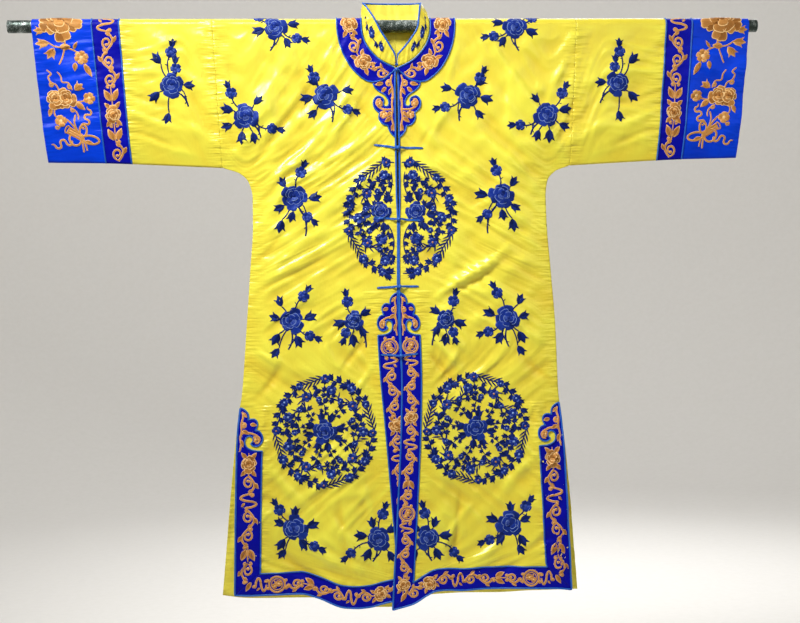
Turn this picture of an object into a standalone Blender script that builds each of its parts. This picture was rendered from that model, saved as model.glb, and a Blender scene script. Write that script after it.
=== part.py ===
"""A long silk robe with a stand collar, hung flat on a rod that runs through both its sleeves.

Metres, +Z up. The front faces -Y and the photograph's right is +X. The origin is on the rod's axis, in the
robe's middle. "Out" is the distance from the robe's middle towards a side edge, "depth" the distance below
the rod's axis. Each half of the body is one cloth, from the front hem over the rod to the back hem.
"""
import math

import bmesh
import bpy
from mathutils import Vector

LEFT, RIGHT = 0, 1
SIGN = (-1.0, 1.0)
SIDE_NAME = ("left", "right")
FRONT, BACK = 1, -1

# Rod
ROD_RADIUS = 0.0125
ROD_ENDS = (-0.763, 0.734)
ROD_SIDES = 24

# Cloth: a wall of satin with its lining, and what is laid on it
CLEAR = 0.0003
CLOTH = 0.0015
TRIM = 0.0010
FOLD_RADIUS = 0.0131
FOLD_STEPS = 8
QUARTER = math.pi / 2 * FOLD_RADIUS
TRIM_LIFT = CLOTH + CLEAR
PIPING_LIFT = TRIM_LIFT + TRIM + CLEAR
PIPING_WIDTH = 0.0024
TOP_LIFT = PIPING_LIFT + TRIM + CLEAR

# Where front and back close towards a seam, and where the panels hang free again
CLOSING = 0.100
HEM_START = 0.92
HEM_LEVEL = 1.13
WAVE_START = 0.70

# The right front lies over the left one from the middle down
LAP = TOP_LIFT + CLEAR
LAP_TOP, LAP_FULL = 0.43, 0.53
LAP_WIDE, LAP_END = 0.045, 0.150

# Neck
NECK_HALF = 0.0685
NECK_DEPTH = 0.084
BAND_HALF = 0.1175
COLLAR_GAP = 0.0017
SLOPE_STEP = 0.0005
COLLAR_CORD_GAP = 0.0005
COLLAR_WALL = 0.0016
COLLAR_MIDDLE = (0.0, 0.0192, 0.0475)
CORD_RADIUS = 0.0013
KNOT_RADIUS = 0.0040
NECK_KNOT_DROP = 0.006

# Borders
FRONT_BORDER = (0.044, 0.040)
SLIT_BORDER = 0.051
HEM_BORDER = 0.044
FRONT_APEX = 0.532
SLIT_APEX = 0.757
OUTLINE_MARGIN = 0.03
CUTTER_REACH = 0.08
MITRE_PAST = 1.8
MITRE_LIMIT = 0.5
TIP_SHARE = 0.6
LAPPET_CORD_END = 0.0068
FOLD_SHARE = 0.99

# How the pieces are divided
COLUMNS = (0.0, 0.08, 0.17, 0.27, 0.38, 0.5, 0.62, 0.75, 0.88, 1.0)
FRONT_LEVELS = (0.018, 0.036, 0.053, 0.069, 0.078, 0.084, 0.11, 0.16, 0.22, 0.281, 0.292, 0.311, 0.34,
                0.39, 0.45, 0.53, 0.61, 0.69, 0.755, 0.8, 0.85, 0.92, 0.99, 1.06, HEM_LEVEL)
BACK_LEVELS = (0.02, 0.05, 0.12, 0.2, 0.281, 0.292, 0.311, 0.34, 0.39, 0.48, 0.6, 0.7, 0.757, 0.8, 0.88,
               0.96, 1.05, HEM_LEVEL)
SLEEVE_LEVELS = (0.12, 0.3, 0.5, 0.68, 0.8, 0.9, 0.96, 1.0)
SLEEVE_CELLS, BAND_CELLS, CUFF_CELLS = 3, 1, 2
NECK_BAND_CELLS = 3
FRONT_STEPS, BORDER_STEPS, SLIT_STEPS = 16, 6, 8

# Side edge of both panels: depth, out on the left, out on the right
SIDE_EDGE = (
    (0.281, 0.3475, 0.3475), (0.292, 0.314, 0.318), (0.311, 0.296, 0.302), (0.340, 0.289, 0.298),
    (0.390, 0.289, 0.299), (0.490, 0.296, 0.306), (0.606, 0.305, 0.314), (0.735, 0.316, 0.318),
    (0.757, 0.320, 0.320), (0.832, 0.327, 0.326), (1.130, 0.335, 0.338),
)
# Side edge of the back panel below the slit's top: depth, left, right
BACK_EDGE = ((0.757, 0.320, 0.320), (0.832, 0.331, 0.332), (1.140, 0.361, 0.355))
# Free front edge below the neck: depth, left, right. The left one runs on under the right one.
FRONT_EDGE = (
    (0.084, 0.0004, 0.0004), (0.110, 0.0022, 0.0022), (0.240, 0.0024, 0.0024), (0.340, 0.0020, 0.0020),
    (0.390, 0.0004, 0.0004), (0.530, 0.0022, -0.0018), (0.620, 0.0000, -0.0006), (0.700, -0.0040, 0.0010),
    (0.786, -0.0110, -0.0010), (0.950, -0.0230, -0.0100), (1.104, -0.0340, -0.0200),
    (1.170, -0.0380, -0.0240),
)
# Hems: out, depth on the left, depth on the right
FRONT_HEM = (
    (-0.040, 1.140, 1.170), (-0.020, 1.143, 1.163), (0.020, 1.147, 1.152), (0.045, 1.152, 1.137),
    (0.065, 1.157, 1.128), (0.085, 1.158, 1.127), (0.117, 1.156, 1.129), (0.169, 1.137, 1.127),
    (0.204, 1.128, 1.127), (0.300, 1.129, 1.129), (0.338, 1.127, 1.133),
)
BACK_HEM = (
    (0.000, 1.162, 1.158), (0.020, 1.164, 1.152), (0.057, 1.163, 1.141), (0.093, 1.162, 1.140),
    (0.135, 1.150, 1.139), (0.173, 1.142, 1.139), (0.312, 1.138, 1.138), (0.362, 1.131, 1.137),
)
# How far the panels swing out at the hem: out, left front, right front, left back, right back
HEM_WAVES = (
    (-0.040, 0.0, 0.0, 0.0, 0.0), (0.050, 0.0, 0.0, 0.001, 0.002), (0.110, 0.006, -0.003, -0.003, 0.004),
    (0.190, -0.004, -0.003, 0.004, -0.003), (0.260, -0.003, 0.004, 0.002, 0.003), (0.340, 0.0, 0.0, 0.0, 0.0),
)
# Neckline in front: depth, out
NECKLINE = ((0.0, 0.0685), (0.018, 0.067), (0.036, 0.061), (0.053, 0.050), (0.069, 0.034), (0.078, 0.019),
            (0.084, 0.0004))
# Neckline behind the shoulder: quarter turns from the fold's top, out
BACK_NECK = ((0.0, 0.0685), (0.25, 0.0665), (0.5, 0.059), (0.75, 0.044), (1.0, CLEAR / 2))

# Cross seams of a sleeve: out at the rod, out at the bottom, depth of the bottom
SLEEVE_SEAM = (0.363, 0.3475, 0.281)
BAND_SEAM = (0.5454, 0.5252, 0.272)
CUFF_SEAM = (0.5986, 0.5759, 0.270)
CUFF_END = (0.7150, 0.6880, 0.268)

# Neck band in front, from its tip to the shoulder: inner out, inner depth, outer out, outer depth
NECK_BAND = (
    (0.0030, 0.0860, 0.0105, 0.0960), (0.0080, 0.0835, 0.0300, 0.1105), (0.0190, 0.0785, 0.0560, 0.1125),
    (0.0340, 0.0695, 0.0770, 0.0990), (0.0500, 0.0535, 0.0940, 0.0790), (0.0610, 0.0365, 0.1080, 0.0510),
    (0.0670, 0.0185, 0.1155, 0.0220), (0.0685, 0.0000, 0.1175, 0.0000),
)
# Neck band on the back: depth, outer out
NECK_BAND_BACK = ((0.012, 0.116), (0.026, 0.106), (0.038, 0.086), (0.047, 0.054), (0.051, 0.016))

# Stand collar's free edge: seam depth in front or quarter turns over the shoulder, free out left, free out
# right, free y, free z
COLLAR_FRONT = (
    (0.0835, 0.0030, 0.0035, -0.0180, -0.060), (0.0795, 0.0095, 0.0140, -0.0198, -0.049),
    (0.0740, 0.0165, 0.0235, -0.0213, -0.038), (0.0670, 0.0225, 0.0305, -0.0225, -0.0285),
    (0.0520, 0.0310, 0.0390, -0.0235, -0.016), (0.0340, 0.0370, 0.0440, -0.0240, -0.004),
    (0.0170, 0.0440, 0.0455, -0.0235, 0.010),
)
COLLAR_OVER = (
    (1.0, 0.0500, 0.0470, -0.0215, 0.020), (0.75, 0.0550, 0.0480, -0.0185, 0.028),
    (0.5, 0.0590, 0.0490, -0.0145, 0.035), (0.25, 0.0620, 0.0500, -0.0090, 0.040),
    (0.0, 0.0640, 0.0510, -0.0030, 0.044), (-0.25, 0.0640, 0.0520, 0.0040, 0.046),
    (-0.5, 0.0600, 0.0500, 0.0110, 0.047), (-0.75, 0.0430, 0.0400, 0.0170, 0.0475),
    (-0.9, 0.0180, 0.0180, 0.0190, 0.0475),
)

# Cloud head at the top of a border: across from the free edge, down from its tip, for a border this wide
HEAD_WIDTH, HEAD_HEIGHT = 0.0514, 0.0857
CLOUD_HEAD = (
    ((0.0, 0.0), (0.0088, 0.0033), (0.0170, 0.0100), (0.0200, 0.0180), (0.0193, 0.0240)),
    ((0.0193, 0.0240), (0.0297, 0.0224), (0.0365, 0.0260), (0.0392, 0.0328), (0.0376, 0.0408),
     (0.0350, 0.0455)),
    ((0.0350, 0.0455), (0.0426, 0.0462), (0.0489, 0.0529), (0.0514, 0.0623), (0.0487, 0.0710),
     (0.0408, 0.0763), (0.0330, 0.0750), (0.0281, 0.0710)),
    ((0.0281, 0.0710), (0.0323, 0.0663), (0.0325, 0.0609), (0.0292, 0.0569), (0.0244, 0.0558),
     (0.0190, 0.0585), (0.0165, 0.0643), (0.0171, 0.0710), (0.0210, 0.0777), (0.0287, 0.0824),
     (0.0382, 0.0848), (HEAD_WIDTH, HEAD_HEIGHT)),
)
# Lappet below the neck band: across from the front edge, depth
LAPPET = (
    ((0.0470, 0.1160), (0.0440, 0.1240), (0.0356, 0.1320), (0.0240, 0.1395), (0.0170, 0.1500),
     (0.0165, 0.1590), (0.0215, 0.1630), (0.0270, 0.1590), (0.0262, 0.1500), (0.0290, 0.1450)),
    ((0.0290, 0.1450), (0.0374, 0.1420), (0.0440, 0.1465), (0.0470, 0.1550), (0.0445, 0.1665),
     (0.0346, 0.1760)),
    ((0.0346, 0.1760), (0.0362, 0.1830), (0.0346, 0.1910), (0.0280, 0.1985), (0.0182, 0.2010)),
    ((0.0182, 0.2010), (0.0168, 0.2080), (0.0126, 0.2160), (0.0048, 0.2240), (-0.0020, 0.2285)),
)
LAPPET_TOP = ((-0.0060, 0.0900), (0.0045, 0.0925), (0.0110, 0.0990), (0.0300, 0.1138))

# Frogs: depth of the left end, of the knot and of the right end, out of the left end and the right end
FROGS = (
    (0.239, 0.245, 0.246, 0.045, 0.049),
    (0.384, 0.387, 0.390, 0.047, 0.040),
    (0.523, 0.521, 0.521, 0.043, 0.036),
    (0.656, 0.658, 0.655, 0.037, 0.033),
)
BORDER_FROG = 3
STRAP_BEND = 0.0125
STRAP_EYE = 0.0035

# Colours, linear, and how rough each finish is
YELLOW = (0.83, 0.66, 0.03)
CUFF_BLUE = (0.005, 0.04, 0.62)
BORDER_BLUE = (0.008, 0.004, 0.42)
PIPING_BLUE = (0.01, 0.16, 0.65)
ROD_GREY = (0.05, 0.06, 0.055)
SATIN_ROUGH, TRIM_ROUGH, ROD_ROUGH = 0.35, 0.4, 0.45
SHARP_ANGLE = math.radians(40)


def clear_scene():
    for thing in list(bpy.data.objects):
        bpy.data.objects.remove(thing)


def finish(name, colour, roughness, metallic=0.0):
    material = bpy.data.materials.new(name)
    material.use_nodes = True
    shader = material.node_tree.nodes["Principled BSDF"]
    shader.inputs["Base Color"].default_value = (*colour, 1.0)
    shader.inputs["Roughness"].default_value = roughness
    shader.inputs["Metallic"].default_value = metallic
    return material


def place(name, form, material):
    """Links a bmesh to the scene as one smooth-shaded object."""
    mesh = bpy.data.meshes.new(name)
    form.to_mesh(mesh)
    form.free()
    mesh.shade_smooth()
    mesh.set_sharp_from_angle(angle=SHARP_ANGLE)
    mesh.materials.append(material)
    thing = bpy.data.objects.new(name, mesh)
    bpy.context.collection.objects.link(thing)
    return thing


def ease(low, high, value):
    """0 below low, 1 above high, and a soft step between; high may be the smaller one."""
    t = min(max((value - low) / (high - low), 0.0), 1.0)
    return t * t * (3 - 2 * t)


def follow(table, at, column):
    """A column's value at a place in the first column, on a smooth curve through the rows."""
    if at <= table[0][0]:
        return table[0][column]
    if at >= table[-1][0]:
        return table[-1][column]
    index = max(i for i, row in enumerate(table) if row[0] <= at)
    rises = [(b[column] - a[column]) / (b[0] - a[0]) for a, b in zip(table, table[1:])]

    def lean(i):
        if i == 0:
            return rises[0]
        if i == len(table) - 1:
            return rises[-1]
        before, after = rises[i - 1], rises[i]
        return 0.0 if before * after <= 0 else 2 * before * after / (before + after)

    span = table[index + 1][0] - table[index][0]
    t = (at - table[index][0]) / span
    start, end = table[index][column], table[index + 1][column]
    return ((1 + 2 * t) * (1 - t) ** 2 * start + t * (1 - t) ** 2 * span * lean(index)
            + t * t * (3 - 2 * t) * end - t * t * (1 - t) * span * lean(index + 1))


def seam_line(side):
    """The seam that joins front and back: up the side from the slit, then out under the sleeve."""
    under = [(row[1 + side], row[0]) for row in SIDE_EDGE if row[0] <= SLIT_APEX]
    return list(reversed(under)) + [(seam[1], seam[2]) for seam in (BAND_SEAM, CUFF_SEAM, CUFF_END)]


SEAMS = (seam_line(LEFT), seam_line(RIGHT))


def seam_distance(side, out, depth):
    best = 1.0
    for (ax, ay), (bx, by) in zip(SEAMS[side], SEAMS[side][1:]):
        dx, dy = bx - ax, by - ay
        t = min(max(((out - ax) * dx + (depth - ay) * dy) / (dx * dx + dy * dy), 0.0), 1.0)
        best = min(best, math.hypot(out - ax - t * dx, depth - ay - t * dy))
    return best


def hang(side, face, out, depth):
    """Distance of the cloth's inner face from the robe's middle plane."""
    near = min(seam_distance(side, out, depth) / CLOSING, 1.0)
    reach = CLEAR / 2 + (FOLD_RADIUS - CLEAR / 2) * (1 - (1 - near) ** 2)
    column = 1 + side if face == FRONT else 3 + side
    reach += ease(WAVE_START, HEM_LEVEL, depth) * follow(HEM_WAVES, out, column)
    if face == FRONT and side == RIGHT:
        reach += LAP * ease(LAP_TOP, LAP_FULL, depth) * ease(LAP_END, LAP_WIDE, out)
    return reach


def on_cloth(side, out, path, lift):
    """A point this far out of the cloth's inner face; path runs from the fold's top, positive in front."""
    x = SIGN[side] * out
    if abs(path) <= QUARTER:
        turn = path / FOLD_RADIUS
        radius = FOLD_RADIUS + lift
        return Vector((x, -radius * math.sin(turn), radius * math.cos(turn)))
    depth = abs(path) - QUARTER
    face = FRONT if path > 0 else BACK
    return Vector((x, -face * (hang(side, face, out, depth) + lift), -depth))


def path_of(face, depth):
    return face * (QUARTER + depth)


def neck_out(path):
    if path >= QUARTER:
        return follow(NECKLINE, path - QUARTER, 1)
    return NECK_HALF if path >= 0 else follow(BACK_NECK, -path / QUARTER, 1)


def inner_out(side, path):
    if path <= -QUARTER:
        return CLEAR / 2
    if path - QUARTER >= NECK_DEPTH:
        return follow(FRONT_EDGE, path - QUARTER, 1 + side)
    return neck_out(path)


def seam_out(seam, depth):
    return seam[0] + (seam[1] - seam[0]) * depth / seam[2]


def outer_out(side, path):
    depth = max(abs(path) - QUARTER, 0.0)
    if depth <= SLEEVE_SEAM[2]:
        return seam_out(SLEEVE_SEAM, depth)
    if path < 0 and depth > SLIT_APEX:
        return follow(BACK_EDGE, depth, 1 + side)
    return follow(SIDE_EDGE, depth, 1 + side)


def hem_depth(side, face, level, out):
    """Levels near the hem follow its dips."""
    if level <= HEM_START:
        return level
    hem = follow(FRONT_HEM if face == FRONT else BACK_HEM, out, 1 + side)
    return HEM_START + (hem - HEM_START) * (level - HEM_START) / (HEM_LEVEL - HEM_START)


def body_row(side, face, level, lift):
    path = path_of(face, level)
    inner, outer = inner_out(side, path), outer_out(side, path)
    row = []
    for share in COLUMNS:
        out = inner + (outer - inner) * share
        row.append(on_cloth(side, out, path_of(face, hem_depth(side, face, level, out)), lift))
    return row


def fold_paths():
    return [QUARTER * (1 - 2 * step / FOLD_STEPS) for step in range(FOLD_STEPS + 1)]


def fold_row(side, path, inner, outer, shares, lift):
    return [on_cloth(side, inner + (outer - inner) * share, path, lift) for share in shares]


def body_grid(side, lift):
    rows = [body_row(side, FRONT, level, lift) for level in reversed(FRONT_LEVELS)]
    for path in fold_paths():
        rows.append(fold_row(side, path, inner_out(side, path), outer_out(side, path), COLUMNS, lift))
    rows += [body_row(side, BACK, level, lift) for level in BACK_LEVELS]
    return rows


def wall(name, inside, outside, material):
    """A closed wall between two grids with the same rows and columns."""
    form = bmesh.new()
    sheets = [[[form.verts.new(point) for point in row] for row in grid] for grid in (inside, outside)]
    rows, columns = len(inside), len(inside[0])
    for sheet in sheets:
        for r in range(rows - 1):
            for c in range(columns - 1):
                form.faces.new((sheet[r][c], sheet[r][c + 1], sheet[r + 1][c + 1]))
                form.faces.new((sheet[r][c], sheet[r + 1][c + 1], sheet[r + 1][c]))
    rim = [(0, c) for c in range(columns)] + [(r, columns - 1) for r in range(1, rows)]
    rim += [(rows - 1, c) for c in range(columns - 2, -1, -1)] + [(r, 0) for r in range(rows - 2, 0, -1)]
    for (r, c), (r2, c2) in zip(rim, rim[1:] + rim[:1]):
        form.faces.new((sheets[0][r][c], sheets[0][r2][c2], sheets[1][r2][c2], sheets[1][r][c]))
    bmesh.ops.recalc_face_normals(form, faces=form.faces)
    return place(name, form, material)


def body_half(side, material):
    wall(f"body_{SIDE_NAME[side]}", body_grid(side, 0.0), body_grid(side, CLOTH), material)


def sleeve_grid(side, start, end, cells, low, high):
    """Rows of a sleeve's piece between two cross seams, as an inner and an outer grid."""
    shares = [cell / cells for cell in range(cells + 1)]
    grids = []
    for lift in (low, high):
        rows = []
        for face in (FRONT, BACK):
            flat = []
            for level in SLEEVE_LEVELS:
                row = []
                for share in shares:
                    bottom = start[2] + (end[2] - start[2]) * share
                    inner, outer = seam_out(start, level * start[2]), seam_out(end, level * end[2])
                    row.append(on_cloth(side, inner + (outer - inner) * share,
                                        path_of(face, level * bottom), lift))
                flat.append(row)
            rows += list(reversed(flat)) if face == FRONT else flat
            if face == FRONT:
                rows += [fold_row(side, path, start[0], end[0], shares, lift) for path in fold_paths()]
        grids.append(rows)
    return grids


def shifted(seam, by):
    return (seam[0] + by, seam[1] + by, seam[2])


def sleeve(side, yellow, border, cuff, piping):
    name = SIDE_NAME[side]
    start = shifted(SLEEVE_SEAM, CLEAR)
    wall(f"sleeve_{name}", *sleeve_grid(side, start, BAND_SEAM, SLEEVE_CELLS, 0.0, CLOTH), yellow)
    start = shifted(BAND_SEAM, CLEAR)
    wall(f"sleeve_band_{name}", *sleeve_grid(side, start, CUFF_SEAM, BAND_CELLS, 0.0, CLOTH), border)
    start = shifted(CUFF_SEAM, CLEAR)
    wall(f"cuff_{name}", *sleeve_grid(side, start, CUFF_END, CUFF_CELLS, 0.0, CLOTH), cuff)
    for seam, label in ((BAND_SEAM, "band_piping"), (CUFF_SEAM, "cuff_piping")):
        edges = (shifted(seam, -PIPING_WIDTH / 2), shifted(seam, PIPING_WIDTH / 2))
        grids = sleeve_grid(side, *edges, 1, TRIM_LIFT, TRIM_LIFT + TRIM)
        wall(f"{label}_{name}", *grids, piping)


def neck_band_rows(side, width=None):
    """Inner and outer edge of the neck band as out and path, from the front tip to the back's middle.
    With a width, the inner edge is that far from the outer one."""
    rows = [((a, path_of(FRONT, b)), (c, path_of(FRONT, d))) for a, b, c, d in NECK_BAND]
    rows += [((neck_out(path), path), (BAND_HALF, path)) for path in fold_paths()[1:]]
    middle = CLEAR / 2
    rows += [((middle, path_of(BACK, depth)), (out, path_of(BACK, depth))) for depth, out in NECK_BAND_BACK]
    if width is None:
        return rows
    narrow = []
    for (inner, inner_path), (outer, outer_path) in rows:
        length = math.hypot(inner - outer, inner_path - outer_path)
        share = width / length
        narrow.append(((outer + (inner - outer) * share, outer_path + (inner_path - outer_path) * share),
                       (outer, outer_path)))
    return narrow


def strip(name, side, rows, cells, low, high, material):
    """A wall on the cloth between an inner and an outer edge."""
    grids = []
    for lift in (low, high):
        grid = []
        for (a, pa), (b, pb) in rows:
            shares = [cell / cells for cell in range(cells + 1)]
            grid.append([on_cloth(side, a + (b - a) * t, pa + (pb - pa) * t, lift) for t in shares])
        grids.append(grid)
    wall(name, *grids, material)


def neck_band(side, border, piping):
    name = SIDE_NAME[side]
    rows = neck_band_rows(side)
    strip(f"neck_band_{name}", side, rows, NECK_BAND_CELLS, TRIM_LIFT, TRIM_LIFT + TRIM, border)
    rows = neck_band_rows(side, PIPING_WIDTH)
    strip(f"neck_band_piping_{name}", side, rows, 1, PIPING_LIFT, PIPING_LIFT + TRIM, piping)


def collar_seam(side, path):
    """A point just inside the neckline, square to it."""
    slope = (neck_out(path + SLOPE_STEP) - neck_out(path - SLOPE_STEP)) / (2 * SLOPE_STEP)
    length = math.hypot(1.0, slope)
    out = max(neck_out(path) - COLLAR_GAP / length, COLLAR_GAP)
    return on_cloth(side, out, path + slope * COLLAR_GAP / length, CLOTH / 2)


def collar_stations():
    """Seam point and free point of the stand collar, from the left front end round to the right one."""
    paths = [path_of(FRONT, row[0]) for row in COLLAR_FRONT] + [row[0] * QUARTER for row in COLLAR_OVER]
    half = ([], [])
    for side in (LEFT, RIGHT):
        for path, row in zip(paths, COLLAR_FRONT + COLLAR_OVER):
            free = Vector((SIGN[side] * row[1 + side], row[3], row[4]))
            half[side].append((collar_seam(side, path), free))
    back = on_cloth(LEFT, 0.0, -QUARTER, CLOTH / 2)
    middle = (back + Vector((0.0, 0.0, COLLAR_GAP)), Vector(COLLAR_MIDDLE))
    return half[LEFT] + [middle] + list(reversed(half[RIGHT]))


def collar(material, piping):
    stations = collar_stations()
    inside, outside, cord = [], [], []
    for index, (seam, free) in enumerate(stations):
        before = stations[max(index - 1, 0)]
        after = stations[min(index + 1, len(stations) - 1)]
        along = (after[0] + after[1] - before[0] - before[1]).normalized()
        rise = (free - seam).normalized()
        out = rise.cross(along).normalized() * COLLAR_WALL / 2
        middle = (seam + free) / 2
        inside.append([seam - out, middle - out, free - out])
        outside.append([seam + out, middle + out, free + out])
        edge = (after[1] - before[1]).normalized()
        beyond = (rise - edge * rise.dot(edge)).normalized()
        cord.append(free + beyond * (COLLAR_CORD_GAP + CORD_RADIUS))
    wall("collar", inside, outside, material)
    tube("collar_piping", cord, CORD_RADIUS, piping)


def tube(name, points, radius, material):
    """A round cord through points, as a bevelled line with filled caps."""
    curve = bpy.data.curves.new(name, "CURVE")
    curve.dimensions = "3D"
    line = curve.splines.new("POLY")
    line.points.add(len(points) - 1)
    for spot, point in zip(line.points, points):
        spot.co = (*point, 1.0)
    curve.bevel_depth = radius
    curve.bevel_resolution = 1
    curve.use_fill_caps = True
    curve.materials.append(material)
    thing = bpy.data.objects.new(name, curve)
    bpy.context.collection.objects.link(thing)


def neck_piping(material):
    """The cord that covers the seam between the collar and the neck band."""
    lift = TOP_LIFT + CORD_RADIUS - TRIM
    paths = [path_of(FRONT, row[1]) for row in NECK_BAND[1:]] + fold_paths()[1:]
    halves = []
    for side in (LEFT, RIGHT):
        halves.append([on_cloth(side, neck_out(path) + CORD_RADIUS, path, lift) for path in paths])
    tube("neck_piping", halves[LEFT] + list(reversed(halves[RIGHT])), CORD_RADIUS, material)


def outline(runs):
    """One line through runs of points that meet at cusps."""
    points = [Vector(point) for run in runs for point in run[:-1]]
    return points + [Vector(runs[-1][-1])]


def line_distance(point, points):
    best = 1.0
    for a, b in zip(points, points[1:]):
        run = b - a
        t = min(max((point - a).dot(run) / max(run.length_squared, 1e-12), 0.0), 1.0)
        best = min(best, (point - a - run * t).length)
    return best


def inset(points, by):
    """The same line moved sideways, to its left, without the points that sharp tips would fold over."""
    moved = []
    runs = [(b - a).normalized() for a, b in zip(points, points[1:])]
    for point, before, after in zip(points, runs[:1] + runs, runs + runs[-1:]):
        along = (before + after).normalized()
        aside = point + Vector((-along.y, along.x)) * by / max(along.dot(before), MITRE_LIMIT)
        onward = not moved or (aside - moved[-1]).dot(along) > 0
        if onward and line_distance(aside, points) > by * FOLD_SHARE:
            moved.append(aside)
    return moved


def prism(name, side, points):
    """A hidden cutter: an outline in out and depth, pushed through the front panel."""
    form = bmesh.new()
    ring = [form.verts.new((SIGN[side] * out, 0.0, -depth)) for out, depth in points]
    face = form.faces.new(ring)
    pushed = bmesh.ops.extrude_face_region(form, geom=[face])
    verts = [item for item in pushed["geom"] if isinstance(item, bmesh.types.BMVert)]
    bmesh.ops.translate(form, verts=verts, vec=(0, -CUTTER_REACH, 0))
    bmesh.ops.recalc_face_normals(form, faces=form.faces)
    mesh = bpy.data.meshes.new(name)
    form.to_mesh(mesh)
    form.free()
    cutter = bpy.data.objects.new(name, mesh)
    cutter.hide_render = True
    cutter.display_type = "WIRE"
    bpy.context.collection.objects.link(cutter)
    return cutter


def laid_on(name, side, points, low, high, material):
    """What lies on a front panel: the panel's own facets moved out, kept inside an outline."""
    levels = [level for level in reversed(FRONT_LEVELS) if level >= NECKLINE[4][0]]
    grids = [[body_row(side, FRONT, level, lift) for level in levels] for lift in (low, high)]
    thing = wall(name, *grids, material)
    cut = thing.modifiers.new("outline", "BOOLEAN")
    cut.operation = "INTERSECT"
    cut.solver = "EXACT"
    cut.object = prism(f"{name}_outline", side, points)


def front_line(side, across, start, end, steps):
    """Points beside the free front edge, from one depth to another."""
    depths = [start + (end - start) * step / steps for step in range(steps + 1)]
    return [Vector((follow(FRONT_EDGE, depth, 1 + side) + across, depth)) for depth in depths]


def slit_line(side, across, start, end, steps):
    depths = [start + (end - start) * step / steps for step in range(steps + 1)]
    return [Vector((follow(SIDE_EDGE, depth, 1 + side) - across, depth)) for depth in depths]


def panel_hem(side):
    """The front panel's hem as the panel's own columns draw it: out and depth."""
    inner, outer = follow(FRONT_EDGE, HEM_LEVEL, 1 + side), follow(SIDE_EDGE, HEM_LEVEL, 1 + side)
    outs = [inner + (outer - inner) * share for share in COLUMNS]
    return [(out, follow(FRONT_HEM, out, 1 + side)) for out in outs]


def above_hem(side, out, above):
    for (a, low), (b, high) in zip(panel_hem(side), panel_hem(side)[1:]):
        if out <= b:
            return Vector((out, low + (high - low) * (out - a) / (b - a) - above))
    return Vector((out, panel_hem(side)[-1][1] - above))


def hem_line(side, above, start, end):
    """Points above the hem, between two places, that turn where the hem turns."""
    outs = [start] + [out for out, depth in panel_hem(side) if start < out < end] + [end]
    return [above_hem(side, out, above) for out in outs]


def front_corner(side, above):
    """Where the inner line of the front border meets the top of the hem border."""
    width = FRONT_BORDER[side] * above / HEM_BORDER
    return above_hem(side, follow(FRONT_EDGE, HEM_LEVEL, 1 + side) + width, above)


def slit_corner(side, above):
    width = SLIT_BORDER * above / HEM_BORDER
    return above_hem(side, follow(SIDE_EDGE, HEM_LEVEL, 1 + side) - width, above)


def front_head(side):
    scale = FRONT_BORDER[side] / HEAD_WIDTH
    head = []
    for across, down in outline(CLOUD_HEAD):
        depth = FRONT_APEX + down
        head.append(Vector((follow(FRONT_EDGE, depth, 1 + side) + across * scale, depth)))
    return head


def slit_head(side):
    head = []
    for across, down in outline(CLOUD_HEAD):
        depth = SLIT_APEX + down
        head.append(Vector((follow(SIDE_EDGE, depth, 1 + side) - across, depth)))
    return head


def mitre(inner, outer):
    """The end of a mitred corner's line, drawn on past the outer corner."""
    return inner + (outer - inner) * MITRE_PAST


def beside_edge(head):
    """A head's line without its tip, where the cord of the free edge passes."""
    return [head[0].lerp(head[1], TIP_SHARE)] + head[1:]


def borders(side, border, piping):
    name = SIDE_NAME[side]
    low, high = TRIM_LIFT, TRIM_LIFT + TRIM
    front_in, front_out = front_corner(side, HEM_BORDER), front_corner(side, 0.0)
    slit_in, slit_out = slit_corner(side, HEM_BORDER), slit_corner(side, 0.0)
    away = Vector((OUTLINE_MARGIN, 0.0))
    gap = Vector((CLEAR, 0.0))

    inner = front_line(side, FRONT_BORDER[side], FRONT_APEX + HEAD_HEIGHT, front_in.y,
                       BORDER_STEPS)[1:-1]
    head = front_head(side)
    shape = [head[0] - away] + head + inner
    shape += [front_in, mitre(front_in, front_out), front_out - away * 2]
    laid_on(f"front_border_{name}", side, shape, low, high, border)

    inner_slit = slit_line(side, SLIT_BORDER, SLIT_APEX + HEAD_HEIGHT, slit_in.y, BORDER_STEPS)[1:-1]
    head_slit = slit_head(side)
    shape = [head_slit[0] + away] + head_slit + inner_slit
    shape += [slit_in, mitre(slit_in, slit_out), slit_out + away * 2]
    laid_on(f"slit_border_{name}", side, shape, low, high, border)

    top = hem_line(side, HEM_BORDER, front_in.x + CLEAR, slit_in.x - CLEAR)
    shape = [mitre(front_in, front_out) + gap] + top + [mitre(slit_in, slit_out) - gap]
    laid_on(f"hem_border_{name}", side, shape, low, high, border)

    low, high = PIPING_LIFT, PIPING_LIFT + TRIM
    run = beside_edge(head) + inner + [front_in] + top[1:-1] + [slit_in] + list(reversed(inner_slit))
    run += list(reversed(beside_edge(head_slit)))
    laid_on(f"border_piping_{name}", side, run + list(reversed(inset(run, PIPING_WIDTH))), low, high, piping)


def edge_piping(side, piping):
    """The cord round the free edges: down the front, along the hem and up the slit."""
    edge, corner = PIPING_WIDTH, front_corner(side, 0.0)
    start = NECK_DEPTH + edge
    far_corner = slit_corner(side, 0.0)
    inner = front_line(side, edge, start, corner.y - edge, FRONT_STEPS)
    low_line = hem_line(side, edge, corner.x + edge, far_corner.x - edge)
    up = list(reversed(slit_line(side, edge, SLIT_APEX + edge, far_corner.y - edge, SLIT_STEPS)))
    run = inner + low_line[1:-1] + up
    away, below = Vector((OUTLINE_MARGIN, 0.0)), Vector((0.0, 2 * OUTLINE_MARGIN))
    outer = [run[-1] + away, far_corner + away + below, corner - away + below, run[0] - away]
    low, high = PIPING_LIFT, PIPING_LIFT + TRIM
    laid_on(f"edge_piping_{SIDE_NAME[side]}", side, run + outer, low, high, piping)


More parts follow.
